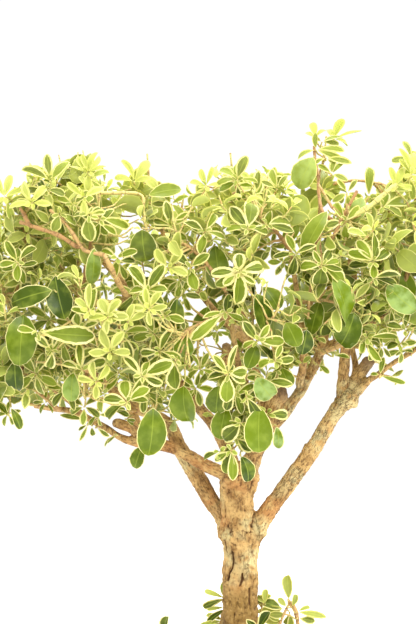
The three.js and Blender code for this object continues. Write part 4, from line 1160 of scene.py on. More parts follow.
class Crown:
    """What a leaf has to keep clear of: the crown's outline, its windows, and leaves in known places."""

    def __init__(self):
        self.outline = np.array(CROWN_OUTLINE, float)
        self.windows = np.array(list(CROWN_WINDOWS.values()), float)
        self.shown = []
        self.waiting = []

    def show(self, start, end, width, depth):
        """Keeps the view open to a band from one pixel to another."""
        centre, run = (start + end) / 2, end - start
        length = math.hypot(*run) / 2
        along = run / max(length * 2, 1e-6)
        self.shown.append((*centre, *along, max(length, 1), max(width / 2, 1), depth))

    def has_room(self, spots):
        """True if no pixel spot (across, down, depth) is outside, in a window, or before a shown leaf."""
        x, y, depth = spots.T
        start, end = self.outline, np.roll(self.outline, -1, 0)
        level = (start[:, 1] > y[:, None]) != (end[:, 1] > y[:, None])
        rise = np.where(end[:, 1] == start[:, 1], 1, end[:, 1] - start[:, 1])
        cross = start[:, 0] + (y[:, None] - start[:, 1]) / rise * (end[:, 0] - start[:, 0])
        if not ((level & (x[:, None] < cross)).sum(axis=1) % 2).all():
            return False
        wide = (x[:, None] - self.windows[:, 0]) / (self.windows[:, 2] / 2)
        high = (y[:, None] - self.windows[:, 1]) / (self.windows[:, 3] / 2)
        if (wide**2 + high**2 < WINDOW_MARGIN).any():
            return False
        shown = np.array(self.shown)
        away = np.stack((x[:, None] - shown[:, 0], y[:, None] - shown[:, 1]), -1)
        along = (away * shown[:, 2:4]).sum(-1) / shown[:, 4]
        beside = (away[..., 0] * shown[:, 3] - away[..., 1] * shown[:, 2]) / shown[:, 5]
        return not ((along**2 + beside**2 < 1) & (depth[:, None] < shown[:, 6] + SHOWN_DEPTH)).any()

    def has_room_for(self, leaf):
        """True if a leaf's middle, sides and tip have room."""
        along = leaf.base + leaf.axis * leaf.length * np.array(LEAF_SPOTS)[:, None]
        across = np.cross(leaf.axis, leaf.normal) * leaf.width / 2
        return self.has_room(to_picture(np.vstack((along, along[1] + across, along[1] - across))))

    def show_leaves(self, leaves):
        for leaf in leaves:
            ends = to_picture(np.stack((leaf.base, leaf.base + leaf.axis * leaf.length)))
            self.show(ends[0, :2], ends[1, :2], leaf.width / MM_PER_PIXEL, ends[:, 2].min())


def sprig_leaves(rng, sprig, form, age, lean=0):
    """The leaves of a sprig in a known place, spread around its pixel and facing the viewer."""
    across, down, depth, *blades = sprig
    base = from_picture(across, down, depth)
    leaves = []
    for clock, length, width, *tone in blades:
        turn = math.radians(clock)
        forward = rng.uniform(*SPRIG["forward"]) + lean
        axis = np.array((math.sin(turn), -forward, math.cos(turn)))
        facing = TO_VIEWER + UP * rng.uniform(*SPRIG["lift"]) + np.array((rng.uniform(*SPRIG["turn"]), 0, 0))
        start = base + unit(axis) * SPRIG["stalk"]
        length *= math.hypot(1, forward) if not lean else 1
        leaf = grow_leaf(rng, start, axis, facing, length, width, form, age)
        leaves.append(leaf._replace(tone=tone[0]) if tone else leaf)
    return base, leaves


def shoot_leaves(rng, path, form, size, age, nodes=LEAF_NODES):
    """Opposite pairs of leaves down a shoot from its tip, each pair a quarter turn from the last."""
    tangents, first, second = frames_along(path)
    along = lengths_along(path)
    roll = rng.uniform(0, math.pi)
    gap = rng.uniform(*form["gap"])
    leaves = []
    for node in range(nodes):
        place = along[-1] - gap * node - PAIRS["widening"] * gap * max(0, node - 1)
        i = min(int(np.searchsorted(along, max(place, along[-1] * PAIRS["lowest"]))), len(path) - 1)
        grown = min(1, form["youngest"] + PAIRS["growth"] * node)
        for side in (0, 1):
            turn = roll + node * math.pi / 2 + side * math.pi + rng.uniform(-PAIRS["roll"], PAIRS["roll"])
            radial = math.cos(turn) * first[i] + math.sin(turn) * second[i]
            least, more = PAIRS["lean"]
            lean = math.radians(least + more * node) + rng.uniform(-PAIRS["sway"], PAIRS["sway"])
            axis = tangents[i] * math.cos(lean) + radial * math.sin(lean)
            facing = tangents[i] * math.sin(lean) - radial * math.cos(lean) + UP * rng.uniform(*PAIRS["lift"])
            length = size * grown * rng.uniform(*PAIRS["size"])
            base = path[i] + radial * PAIRS["stalk"]
            young = age if node > 1 else min(1, age + PAIRS["younger"] * (2 - node))
            width = length * rng.uniform(*form["ratio"]) * (PAIRS["bud_width"] if node == 0 else 1)
            leaves.append(grow_leaf(rng, base, axis, facing, length, width, form, young))
    return leaves


# ---- Branchlets ----


class Branchlet:
    """A leafy branchlet in the making: its stem, its twigs and its leaves."""

    def __init__(self, stem, radius, middle=None):
        self.stem, self.middle = stem, middle
        self.twigs = [(stem, np.linspace(radius, radius * STEM["taper"], len(stem)), None)]
        self.leaves = []

    def add_twig(self, rng, tip, arrival):
        """A twig from the nearest wood that can carry it to a tip, which it reaches going along `arrival`."""
        index, gap = nearest(self.stem, tip)
        index = max(0, index - int(gap / TWIG["set_back"]))
        root = self.stem[index]
        thick = np.interp(index, (0, len(self.stem)), TWIG["on_stem"])
        on_wood, wood_gap = nearest(LEAFY_WOOD, tip)
        if wood_gap < gap * TWIG["prefers_wood"]:
            root, thick = LEAFY_WOOD[on_wood], TWIG["on_wood"]
        ahead = self.stem[min(index + 1, len(self.stem) - 1)] - self.stem[max(index - 1, 0)]
        reach = np.linalg.norm(tip - root)
        away = root + unit(ahead) * reach * TWIG["along"] + (tip - root) * TWIG["towards"]
        fewest, most = TWIG["joints"]
        joints = max(fewest, min(most, int(reach / TWIG["joint"])))
        path = bow(root, away, tip - unit(arrival) * reach * TWIG["arrives"], tip, joints)
        path[1:-1] += rng.normal(0, TWIG["wobble"], path[1:-1].shape)
        foot = max(thick * TWIG["foot"], TWIG["tip"])
        self.twigs.append((path, np.linspace(foot, TWIG["tip"], len(path)), None))
        return path


def owner_of(branchlets, place):
    """The branchlet whose middle is nearest a place."""
    owners = list(branchlets.values())
    return owners[nearest(np.array([owner.middle for owner in owners]), place)[0]]


def grow_sprigs(rng, crown, branchlets, sprigs, form, age):
    """Puts sprigs in known places on the branchlets that are nearest to them."""
    for across, down, depth, *blades in sprigs.values():
        height = from_picture(across, down, depth)[2]
        # Known leaves grow younger and paler up the crown: partly new growth, partly painted light on the lit
        # top
        lift = YOUNG_AND_LIT_TOP["age"] * share_of(height, YOUNG_AND_LIT_TOP["from_height"], YOUNG_AND_LIT_TOP["over"])
        base, leaves = sprig_leaves(rng, (across, down, depth, *blades), form, min(1, age + lift))
        if form is EDGED and depth < SPARSE_DEPTH:
            start = rng.uniform(0, 360)
            heart = [
                (start + 360 / HEART["leaves"] * i + rng.uniform(-HEART["sway"], HEART["sway"]),
                 HEART["length"], HEART["width"])
                for i in range(HEART["leaves"])
            ]
            young = min(1, age + HEART["younger"])
            leaves += sprig_leaves(rng, (across, down, depth, *heart), EDGED, young, HEART["lean"])[1]
        if form is EDGED and depth < NEAR_DEPTH:
            leaves = [leaf._replace(rim=leaf.rim * WIDER_RIM) for leaf in leaves]
        owner = owner_of(branchlets, base)
        owner.add_twig(rng, base, TO_VIEWER + UP * SPRIG["twig_rise"])
        owner.leaves += leaves
        crown.show_leaves(leaves)
        crown.waiting.append((owner, base, form, age))


def filling_sprigs(rng):
    """The sprigs whose leaves spread evenly all round."""
    step = 360 / FILLING["leaves"]
    sprigs = {}
    for across, down, depth, length in FILLING_SPRIGS:
        start, sway = rng.uniform(0, step), FILLING["sway"]
        turns = [start + step * i + rng.uniform(-sway, sway) for i in range(FILLING["leaves"])]
        blades = [(turn, length, length * FILLING["ratio"]) for turn in turns]
        sprigs[across, down] = (across, down, depth, *blades)
    return sprigs


def back_sprigs(rng, crown):
    """Grows lower leaves behind each sprig in a known place, where there is room for them."""
    for owner, base, form, age in crown.waiting:
        if form is BROAD or to_picture(base[None])[0, 2] > SPARSE_DEPTH:
            continue
        start = rng.uniform(0, math.tau)
        for index in range(BEHIND["leaves"]):
            turn = start + index * math.tau / BEHIND["leaves"] + rng.uniform(-BEHIND["sway"], BEHIND["sway"])
            least, more = BEHIND["back"]
            back = least + more * rng.uniform()
            axis = np.array((math.sin(turn), rng.uniform(*BEHIND["forward"]), math.cos(turn)))
            place = base + np.array((0, back, -BEHIND["sinks"] * back))
            length = rng.uniform(*BEHIND["length"])
            width = length * rng.uniform(*form["ratio"])
            facing = TO_VIEWER + UP * rng.uniform(*BEHIND["lift"])
            leaf = grow_leaf(rng, place, axis, facing, length, width, form, age * BEHIND["age"])
            if crown.has_room_for(leaf):
                owner.leaves.append(leaf)


def show_wood(crown):
    """Keeps the view open to the limbs that show below the crown."""
    for name, (low, high) in VISIBLE_WOOD.items():
        limb = LIMBS[name]
        limb = limb[(limb[:, 2] > low) & (limb[:, 2] < high)][::2]
        seen = to_picture(limb[:, :3])
        for a, b, radius in zip(seen, seen[2:], limb[1:, 3]):
            crown.show(a[:2], b[:2], SHOWN_WIDTH["limb"] * radius / MM_PER_PIXEL, a[2])


def grow_bare_twigs(crown, branchlets, twigs):
    """Adds twigs that show between leaves, each from the nearest wood or stem."""
    grown = []
    for radius, tone, *pixels in twigs.values():
        path = np.array([from_picture(*pixel) for pixel in pixels])
        owner = owner_of(branchlets, path.mean(axis=0))
        carriers = np.vstack((LEAFY_WOOD, owner.stem, *grown))
        gaps = [nearest(carriers, path[0]), nearest(carriers, path[-1])]
        if gaps[1][1] < gaps[0][1]:
            path, gaps = path[::-1], gaps[::-1]
        path = smooth_path(np.vstack((carriers[gaps[0][0]], path)), STEM_STEP)
        owner.twigs.append((path, np.linspace(radius, radius * BARE_TAPER, len(path)), tone))
        grown.append(path)
        seen = to_picture(path)
        for a, b in zip(seen[::3], seen[3::3]):
            crown.show(a[:2], b[:2], SHOWN_WIDTH["twig"] * radius / MM_PER_PIXEL, a[2])


def grow_spurs(rng, crown, branchlets):
    """Short leafy shoots all the way up the limbs, each a quarter turn from the one below."""
    for limb in LIMBS.values():
        tangents, first, second = frames_along(limb[:, :3])
        along = lengths_along(limb[:, :3])
        for count, place in enumerate(np.arange(SPURS["apart"] / 2, along[-1], SPURS["apart"])):
            i = int(np.searchsorted(along, place))
            if limb[i, 2] < SPURS["from_height"]:
                continue
            turn = count * math.pi / 2 + rng.uniform(-SPURS["sway"], SPURS["sway"])
            out = math.cos(turn) * first[i] + math.sin(turn) * second[i]
            start = limb[i, :3] + out * limb[i, 3] * SPURS["sunk"]
            grows = unit(out + tangents[i] * SPURS["ahead"] + UP * SPURS["rise"])
            path = np.array([start + grows * SPURS["length"] * share for share in (0, 0.5, 1)])
            size, age = rng.uniform(*SPURS["leaf"]), rng.uniform(0, SPURS["age"])
            leaves = shoot_leaves(rng, path, EDGED, size, age, SPURS["nodes"])
            leaves = [leaf for leaf in leaves if crown.has_room_for(leaf)]
            if leaves:
                owner = owner_of(branchlets, path[-1])
                owner.twigs.append((path, np.array(SPURS["radii"]), None))
                owner.leaves += leaves


def fill_branchlet(rng, crown, branchlet, reach, sizes):
    """Fills a branchlet's space with shoots that grow outward and up, leaving the known places in view."""
    for shoot in range(sizes.shoots):
        level = 1 - 2 * (shoot + 0.5) / sizes.shoots
        turn = shoot * GOLDEN_TURN + rng.uniform(-FILL["sway"], FILL["sway"])
        flat = math.sqrt(1 - level**2)
        out = np.array((flat * math.cos(turn), flat * math.sin(turn), level))
        tip = branchlet.middle + out * reach * rng.uniform(*FILL["reach"])
        form = BROAD if rng.uniform() < sizes.broad_share else EDGED
        grows = unit(out * FILL["out"] + UP * FILL["rise"] + rng.normal(0, FILL["wander"], 3))
        age = rng.uniform(0, FILL["age"])
        # Younger, paler leaves up the crown and towards the viewer: partly new growth, partly painted light
        # on the lit top and front
        for place, (start, span, most) in ((tip[2], FILL["top"]), (-tip[1], FILL["front"])):
            age += most * share_of(place, start, span)
        size = rng.uniform(*form["length"])
        if not crown.has_room(to_picture(tip[None])):
            continue
        path = branchlet.add_twig(rng, tip - grows * FILL["straight"], grows)
        path = np.vstack((path[:-1], path[-1], tip - grows * FILL["straight"] / 2, tip))
        found = [leaf for leaf in shoot_leaves(rng, path, form, size, age) if crown.has_room_for(leaf)]
        _, radii, tone = branchlet.twigs.pop()
        if found:
            branchlet.twigs.append((path, np.linspace(radii[0], FILL["tip"], len(path)), tone))
            branchlet.leaves += found


def branchlet_meshes(name, branchlet, rng):
    """The meshes of a branchlet's twigs and of its leaves."""
    stems = Shell()
    cells = math.ceil(math.sqrt(len(branchlet.twigs)))
    for cell, (path, radii, tone) in enumerate(branchlet.twigs):
        knots = 1 + KNOTS["swell"] * np.sin(KNOTS["apart"] * np.arange(len(path)) + cell)
        tone = rng.uniform(0, YOUNG_TONES) if tone is None else tone
        add_tube(stems, path, radii * knots, TWIG_SIDES, cells, cell, tone)
    blades = Shell()
    add_leaves(blades, branchlet.leaves)
    return stems.to_mesh(f"{name}_twigs"), blades.to_mesh(f"{name}_leaves")


# ---- Pot and soil ----


def rounded_outline(length, depth, corner, height):
    """A level outline with round corners, anticlockwise from above."""
    points = []
    for quarter, (sx, sy) in enumerate(((1, 1), (-1, 1), (-1, -1), (1, -1))):
        for step in range(CORNER_STEPS + 1):
            turn = (quarter + step / CORNER_STEPS) * math.pi / 2
            x = sx * (length / 2 - corner) + corner * math.cos(turn)
            points.append((x, sy * (depth / 2 - corner) + corner * math.sin(turn), height))
    return np.array(points)


def stacked(rows):
    """A closed body through level outlines, from its outer bottom to its inner floor or its top."""
    shell = Shell()
    size = len(rows[0])
    faces = [tuple(range(size))[::-1]]
    for row in range(len(rows) - 1):
        for i in range(size):
            k = (i + 1) % size
            faces.append((row * size + i, row * size + k, (row + 1) * size + k, (row + 1) * size + i))
    last = (len(rows) - 1) * size
    faces.append(tuple(last + i for i in range(size)))
    shell.add(np.vstack(rows), faces)
    return shell.to_mesh("stacked")


def pot_mesh():
    """The pot: a drafted box with a rounded lip, four feet and two drain holes."""
    foot, top = POT["foot_height"], POT["height"]
    levels = {"foot": foot, "lip": top - POT["lip_height"], "top": top, "floor": foot + POT["floor"]}
    outs = {"wall": 0, "rim": POT["lip_out"], "inside": -POT["wall"]}
    rows = []
    for level, above, face, out in POT_SECTION:
        side = foot + above * (levels["lip"] - foot)
        height = side if level == "side" else levels[level] + above
        out += outs[face]
        scale = POT["draft"] + (1 - POT["draft"]) * (height - foot) / (top - foot)
        corner = max(POT["least_corner"], POT["corner"] * scale + out)
        length, depth = (POT[key] * scale + 2 * out for key in ("length", "depth"))
        rows.append(rounded_outline(length, depth, corner, height))
    tools = []
    for sx, sy in ((-1, -1), (1, -1), (1, 1), (-1, 1)):
        middle = [side * (POT[key] * POT["draft"] / 2 - FOOT["inset"] - FOOT[key] / 2)
                  for side, key in ((sx, "length"), (sy, "depth"))]
        legs = []
        for out, height in FOOT_SECTION:
            length, depth, corner = FOOT["length"] + 2 * out, FOOT["depth"] + 2 * out, FOOT["corner"] + out
            legs.append(rounded_outline(length, depth, corner, height) + (*middle, 0))
        tools.append(("UNION", stacked(legs)))
    for side in (-1, 1):
        drill = bmesh.new()
        radius = POT["drain_radius"] * MM
        bmesh.ops.create_cone(drill, cap_ends=True, segments=DRAIN_SIDES, radius1=radius, radius2=radius,
                              depth=4 * POT["floor"] * MM)
        place = (side * POT["drain_spacing"] / 2 * MM, 0, levels["floor"] * MM)
        bmesh.ops.translate(drill, verts=drill.verts, vec=place)
        tools.append(("DIFFERENCE", bmesh_to_mesh("drill", drill)))
    body = stacked(rows)
    for operation, tool in tools:
        other = link_object("tool", tool)
        body = applied(body, ("BOOLEAN", {"object": other, "operation": operation, "solver": "EXACT"}))
        bpy.data.objects.remove(other)
    body.shade_smooth()
    body.set_sharp_from_angle(angle=POT_EDGE)
    return body


def granule_mesh(rng, spacing):
    """Baked clay granules that cover the soil, each resting on it."""
    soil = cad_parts["soil"].data
    ground = BVHTree.FromPolygons([v.co for v in soil.vertices], [p.vertices for p in soil.polygons])
    ball, faces = unit_ball(GRANULE["detail"])
    low, high = (np.array(corner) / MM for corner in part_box("soil"))
    shell = Shell()
    (before, behind), shift = GRANULE["margins"], GRANULE["shift"]
    smallest, largest = GRANULE["radius"]
    for x in np.arange(low[0] + before, high[0] - behind, spacing):
        for y in np.arange(low[1] + before, high[1] - behind, spacing):
            spot = np.array((x, y)) + rng.uniform(-shift, shift, 2)
            over = Vector((*(spot * MM), high[2] * MM + GRANULE["from_above"] * MM))
            hit = ground.ray_cast(over, Vector((0, 0, -1)))
            if hit[0] is None or hit[0].z < (low[2] + GRANULE["above"]) * MM:
                continue
            radius = smallest + (largest - smallest) * rng.uniform() ** 2
            form = ball * rng.uniform(*GRANULE["form"], 3)
            form = form * (1 + rng.normal(0, GRANULE["rough"], (len(ball), 1)))
            turn = np.linalg.qr(rng.normal(size=(3, 3)))[0]
            if np.linalg.det(turn) < 0:
                turn[:, 0] *= -1
            places = form @ turn.T * radius + (*spot, hit[0].z / MM + radius * GRANULE["sunk"])
            shell.add(places, faces, tint=np.tile((rng.uniform(), 0, 0), (len(ball), 1)))
    return shell.to_mesh("soil_granules")


# ---- Materials ----
# A pattern's scale is one over the size of its features. Bark reads a grid of millimetres along its limbs.
# The others read metres, and their sizes in millimetres go with MM.

# Kinds of node: type, settings, inputs in the order in which they are given, and what the node gives
NODES = {
    "place": ("TexCoord", {}, (), "Object"),
    "values": ("Attribute", {}, (), "Vector"),
    "split": ("SeparateXYZ", {}, (0,), slice(0, 3)),
    "stretch": ("Mapping", {}, ("Vector", "Scale"), 0),
    "noise": ("TexNoise", {}, ("Vector", "Scale", "Detail"), "Fac"),
    "cells": ("TexVoronoi", {}, ("Vector", "Scale"), "Distance"),
    "bands": ("TexWave", {}, ("Vector", "Scale"), "Fac"),
    "ramp": ("MapRange", {"interpolation_type": "SMOOTHSTEP"}, ("Value", "From Min", "From Max"), 0),
    "spread": ("MapRange", {}, ("Value", "To Min", "To Max"), 0),
    "blend": ("Mix", {"data_type": "RGBA"}, (0, 6, 7), 2),
    "bump": ("Bump", {}, ("Strength", "Distance", "Height"), 0),
    "skin": ("BsdfPrincipled", {}, ("Base Color", "Roughness", "IOR", "Specular IOR Level", "Normal"), 0),
    "glow": ("BsdfTranslucent", {}, ("Color",), 0),
    "both": ("MixShader", {}, (0, 1, 2), 0),
}
NODES |= {name.lower(): ("Math", {"operation": name}, (0, 1), 0)
          for name in ("ADD", "SUBTRACT", "MULTIPLY", "MAXIMUM", "ABSOLUTE", "PINGPONG")}


def add_node(tree, kind, *inputs, **settings):
    """Adds a node of a kind with its settings, sets or links its inputs, and gives its output."""
    name, fixed, sockets, output = NODES[kind]
    node = tree.nodes.new(f"ShaderNode{name}")
    for key, value in (fixed | settings).items():
        setattr(node, key, value)
    for key, value in zip(sockets, inputs):
        if isinstance(value, bpy.types.NodeSocket):
            tree.links.new(value, node.inputs[key])
        else:
            node.inputs[key].default_value = value
    return node.outputs[output]


def paint(name, mix, *choices):
    """A material whose shader is the one that a mixing function gives."""
    material = bpy.data.materials.new(name)
    material.use_nodes = True
    tree = material.node_tree
    tree.nodes.clear()
    shader = mix(partial(add_node, tree), bpy.context.scene.serissa_colours, *choices)
    tree.links.new(shader, tree.nodes.new("ShaderNodeOutputMaterial").inputs["Surface"])
    return material


def bark(node, colours):
    """Flaking serissa bark: straw and ruddy patches, dark cracks and pits with painted shade where the relief
    sinks, pale patches that are partly painted light, and grey weathered saw cuts.

    The eye takes it for old dry wood by its dull mottled flakes and by dark fissures about 1 mm wide.
    """
    grain = node("values", attribute_name="grain")
    relief, girth, cut = node("split", node("values", attribute_name="state"))
    # Pale patches, partly painted light; ruddy patches; and darkening towards the bottom of the trunk
    bleached, ruddy, low_dark = node("split", node("values", attribute_name="marks"))
    fibrous = node("stretch", grain, (1, 1, 0.35))
    patches = node("noise", grain, 1 / 7, 3)
    torn = node("ramp", node("noise", grain, 1 / 4, 4), 0.36, 0.56)
    weather = node("noise", grain, 1 / 15, 2)
    mottle = node("noise", grain, 1 / 1.5, 3)
    specks = node("noise", fibrous, 1 / 0.9, 2)
    fissure = node("noise", fibrous, 1 / 2.6, 3)
    away = node("absolute", node("subtract", fissure, 0.5))
    cracked = node("subtract", 1, node("ramp", away, 0.0, 0.03))
    cracked = node("multiply", cracked, node("ramp", patches, 0.56, 0.42))
    # Where the relief sinks the colour darkens: partly the darker bark of cracks, partly painted shade in the
    # hollows
    sunk = node("ramp", relief, -0.4, -1.3)
    pits = node("ramp", node("cells", grain, 1 / 4.2), 0.18, 0.09)
    plain = node("blend", node("ramp", patches, 0.28, 0.68), colours.bark, colours.bark_pale)
    streaks = node("multiply", node("ramp", specks, 0.5, 0.66), node("ramp", girth, 7.0, 4.5))
    for share, strength, over in (
        (node("multiply", ruddy, torn), 0.75, colours.bark_ruddy),
        # Darker towards the bottom of the trunk
        (low_dark, 0.75, colours.bark_low),
        # Pale patches: bleached bark, and painted light on the lit right side and on wood in the crown's
        # shade
        (node("multiply", bleached, torn), 0.8, colours.bark_grey),
        (node("ramp", weather, 0.56, 0.68), 0.4, colours.bark_grey),
        # Thin limbs paler: partly their younger bark, partly painted light where they lie in the crown's
        # shade
        (node("ramp", girth, 3.0, 1.4), 0.5, colours.bark_pale),
        (node("ramp", mottle, 0.5, 0.72), 0.42, colours.bark_crack),
        (node("ramp", mottle, 0.46, 0.3), 0.4, colours.bark_pale),
        (node("ramp", specks, 0.55, 0.72), 0.4, colours.bark_crack),
        (streaks, 0.45, colours.bark_crack),
    ):
        plain = node("blend", node("multiply", share, strength), plain, over)
    dark = node("maximum", sunk, node("multiply", pits, 0.6))
    dark = node("maximum", node("multiply", cracked, 0.5), dark)
    shade = node("blend", dark, plain, colours.bark_crack)
    final = node("blend", node("multiply", cut, 0.8), shade, colours.cut_wood)
    height = node("subtract", node("add", specks, mottle), node("add", cracked, pits))
    return node("skin", final, 0.82, 1.45, 0.3, node("bump", 0.9, 0.6 * MM, height))


def twig_skin(node, colours):
    """Young serissa stems: thin skin, tan to reddish brown, yellow green when young, ringed by leaf scars.

    The eye takes them for this year's and last year's growth by their smooth skin and light tips.
    """
    girth, along, tone = node("split", node("values", attribute_name="twig"))
    mottle = node("noise", node("place"), 1 / (2.2 * MM), 3)
    old = node("blend", node("ramp", tone, 0.0, 0.8), colours.twig, colours.bark_pale)
    young = node("multiply", node("ramp", girth, 0.85, 0.45), node("ramp", mottle, 0.3, 0.6))
    young = node("maximum", young, node("ramp", tone, 0.85, 0.95))
    skin = node("blend", young, old, colours.twig_green)
    flakes = node("multiply", node("ramp", mottle, 0.52, 0.68), 0.5)
    rings = node("ramp", node("pingpong", along, LEAF_SCARS / 2), 0.5, 0.1)
    dark = node("maximum", flakes, node("multiply", rings, 0.45))
    skin = node("blend", dark, skin, colours.bark_crack)
    bump = node("bump", 0.6, 0.3 * MM, node("add", mottle, rings))
    return node("skin", skin, 0.6, 1.45, 0.5, bump)


def leaf_blade(node, colours, green, deep, sheen, wax, through):
    """A living serissa leaf: green blade, cream rim and paler rib, under a waxy skin, with painted sheen in
    mint blotches on blades that shine.

    The rim shows as an even cream line that wanders a little, and light comes through the blade.
    """
    margin, rib, under = node("split", node("values", attribute_name="blade"))
    tone, age, rim = node("split", node("values", attribute_name="kind"))
    place = node("place")
    ragged = node("subtract", node("noise", place, 1 / (2.2 * MM), 3), 0.5)
    ragged = node("multiply", node("multiply", ragged, 1.1), rim)
    edge = node("ramp", node("subtract", node("add", margin, ragged), rim), -0.12, 0.22)
    mottle = node("noise", place, 1 / (6 * MM), 3)
    body = node("blend", tone, getattr(colours, green), getattr(colours, deep))
    # Painted sheen: blades with a negative tone take mint blotches that stand for the bright surround
    # reflected in them
    painted_sheen = node("multiply", node("ramp", tone, 0, -1), node("ramp", mottle, 0.3, 0.65))
    body = node("blend", painted_sheen, body, colours.painted_leaf_sheen)
    body = node("blend", node("multiply", node("ramp", mottle, 0.4, 0.75), 0.4), body, colours.leaf_light)
    stripe = node("subtract", 1, node("ramp", rib, 0.1, 0.45))
    body = node("blend", node("multiply", stripe, 0.45), body, colours.leaf_light)
    cream = node("blend", node("ramp", mottle, 0.3, 0.7), colours.cream, colours.cream_green)
    coloured = node("blend", edge, cream, body)
    coloured = node("blend", node("multiply", age, 0.8), coloured, colours.new_growth)
    coloured = node("blend", node("multiply", under, 0.35), coloured, colours.leaf_under)
    veins = node("bump", 0.35, 0.3 * MM, node("add", stripe, mottle))
    return node("both", through, node("skin", coloured, sheen, 1.42, wax, veins), node("glow", coloured))


def stoneware(node, colours):
    """Unglazed stoneware, pressed and wiped: a matt brown clay with iron specks about half a millimetre."""
    place = node("place")
    clouds = node("noise", place, 1 / (30 * MM), 3)
    specks = node("cells", place, 1 / (2.2 * MM))
    iron = node("subtract", 1, node("ramp", specks, 0.12, 0.2))
    clay = node("blend", node("ramp", clouds, 0.35, 0.7), colours.clay, colours.clay_light)
    clay = node("blend", node("multiply", iron, 0.6), clay, colours.iron)
    grit = node("noise", place, 1 / (0.7 * MM), 4)
    wiped = node("noise", node("stretch", place, (0.06, 0.06, 1)), 1 / (1.6 * MM), 2)
    bump = node("bump", 0.5, 0.4 * MM, node("add", grit, node("multiply", wiped, 0.8)))
    return node("skin", clay, node("spread", clouds, 0.55, 0.75), 1.5, 0.5, bump)


def clay_soil(node, colours, loose):
    """Bonsai soil of baked clay granules: dusty tan, brown and grey lumps with a fine gritty skin."""
    place = node("place")
    if loose:
        tint = node("split", node("values", attribute_name="tint"))[0]
    else:
        tint = node("noise", place, 1 / (4 * MM), 3)
    lump = node("blend", node("ramp", tint, 0.1, 0.75), colours.soil_dark, colours.soil)
    lump = node("blend", node("ramp", tint, 0.8, 0.9), lump, colours.soil_pale)
    grit = node("noise", place, 1 / (0.8 * MM), 4)
    lump = node("blend", node("multiply", node("ramp", grit, 0.4, 0.7), 0.4), lump, colours.soil_dark)
    return node("skin", lump, 0.92, 1.45, 0.5, node("bump", 0.6, 0.4 * MM, grit))


def plastic_mesh(node, colours):
    """Black polypropylene mesh, moulded: a 2 mm grid of dull ribs, with painted shade for the holes between
    them, which are not cut.
    """
    place = node("place")
    scale = 2 / (2 * MM * math.tau)
    rib = node("maximum", *(node("bands", place, scale, bands_direction=axis) for axis in ("X", "Y")))
    # The holes are painted, not cut: their near black is painted shade seen through them
    shade = node("blend", node("ramp", rib, 0.4, 0.6), colours.screen_hole_shade, colours.screen)
    return node("skin", shade, 0.55, 1.49, 0.5, node("bump", 0.6, 0.5 * MM, rib))


def paper(node, colours):
    """Matt white paper, the studio's sweep."""
    fibre = node("noise", node("place"), 1 / (4 * MM), 3)
    return node("skin", node("blend", node("multiply", fibre, 0.1), colours.paper, colours.paper_shade), 0.9)


# ---- Settings ----


def colour(name, description, code):
    return FloatVectorProperty(
        name=name, description=description, default=(*linear(code), 1), size=4, subtype="COLOR", min=0, max=1
    )


def length_in_mm(name, description, millimetres):
    return FloatProperty(
        name=name, description=description, default=millimetres * MM, min=0, unit="LENGTH", precision=5
    )


class SerissaSizes(bpy.types.PropertyGroup):
    """Sizes and counts that a user would change; lengths are in metres."""

    bark_cell: length_in_mm("Bark cell", "Size of the bark mesh's cells", BARK_CELL)
    crack_depth: length_in_mm("Crack depth", "Depth of the cracks in the trunk", CRACK_DEPTH)
    stem_radius: length_in_mm("Stem radius", "Radius of a branchlet's stem at its foot", STEM_RADIUS)
    granule_spacing: length_in_mm("Granule spacing", "Distance between clay granules", GRANULE["spacing"])
    shoots: IntProperty(
        name="Shoots", description="Shoots that fill a branchlet", default=SHOOTS_PER_SPRAY, min=1
    )
    broad_share: FloatProperty(
        name="Broad share", description="Share of shoots with plain broad leaves", default=BROAD_SHARE,
        min=0, max=1, subtype="FACTOR",
    )
    seed: IntProperty(name="Seed", description="Picks another growth of the leaves", default=SEED, min=0)


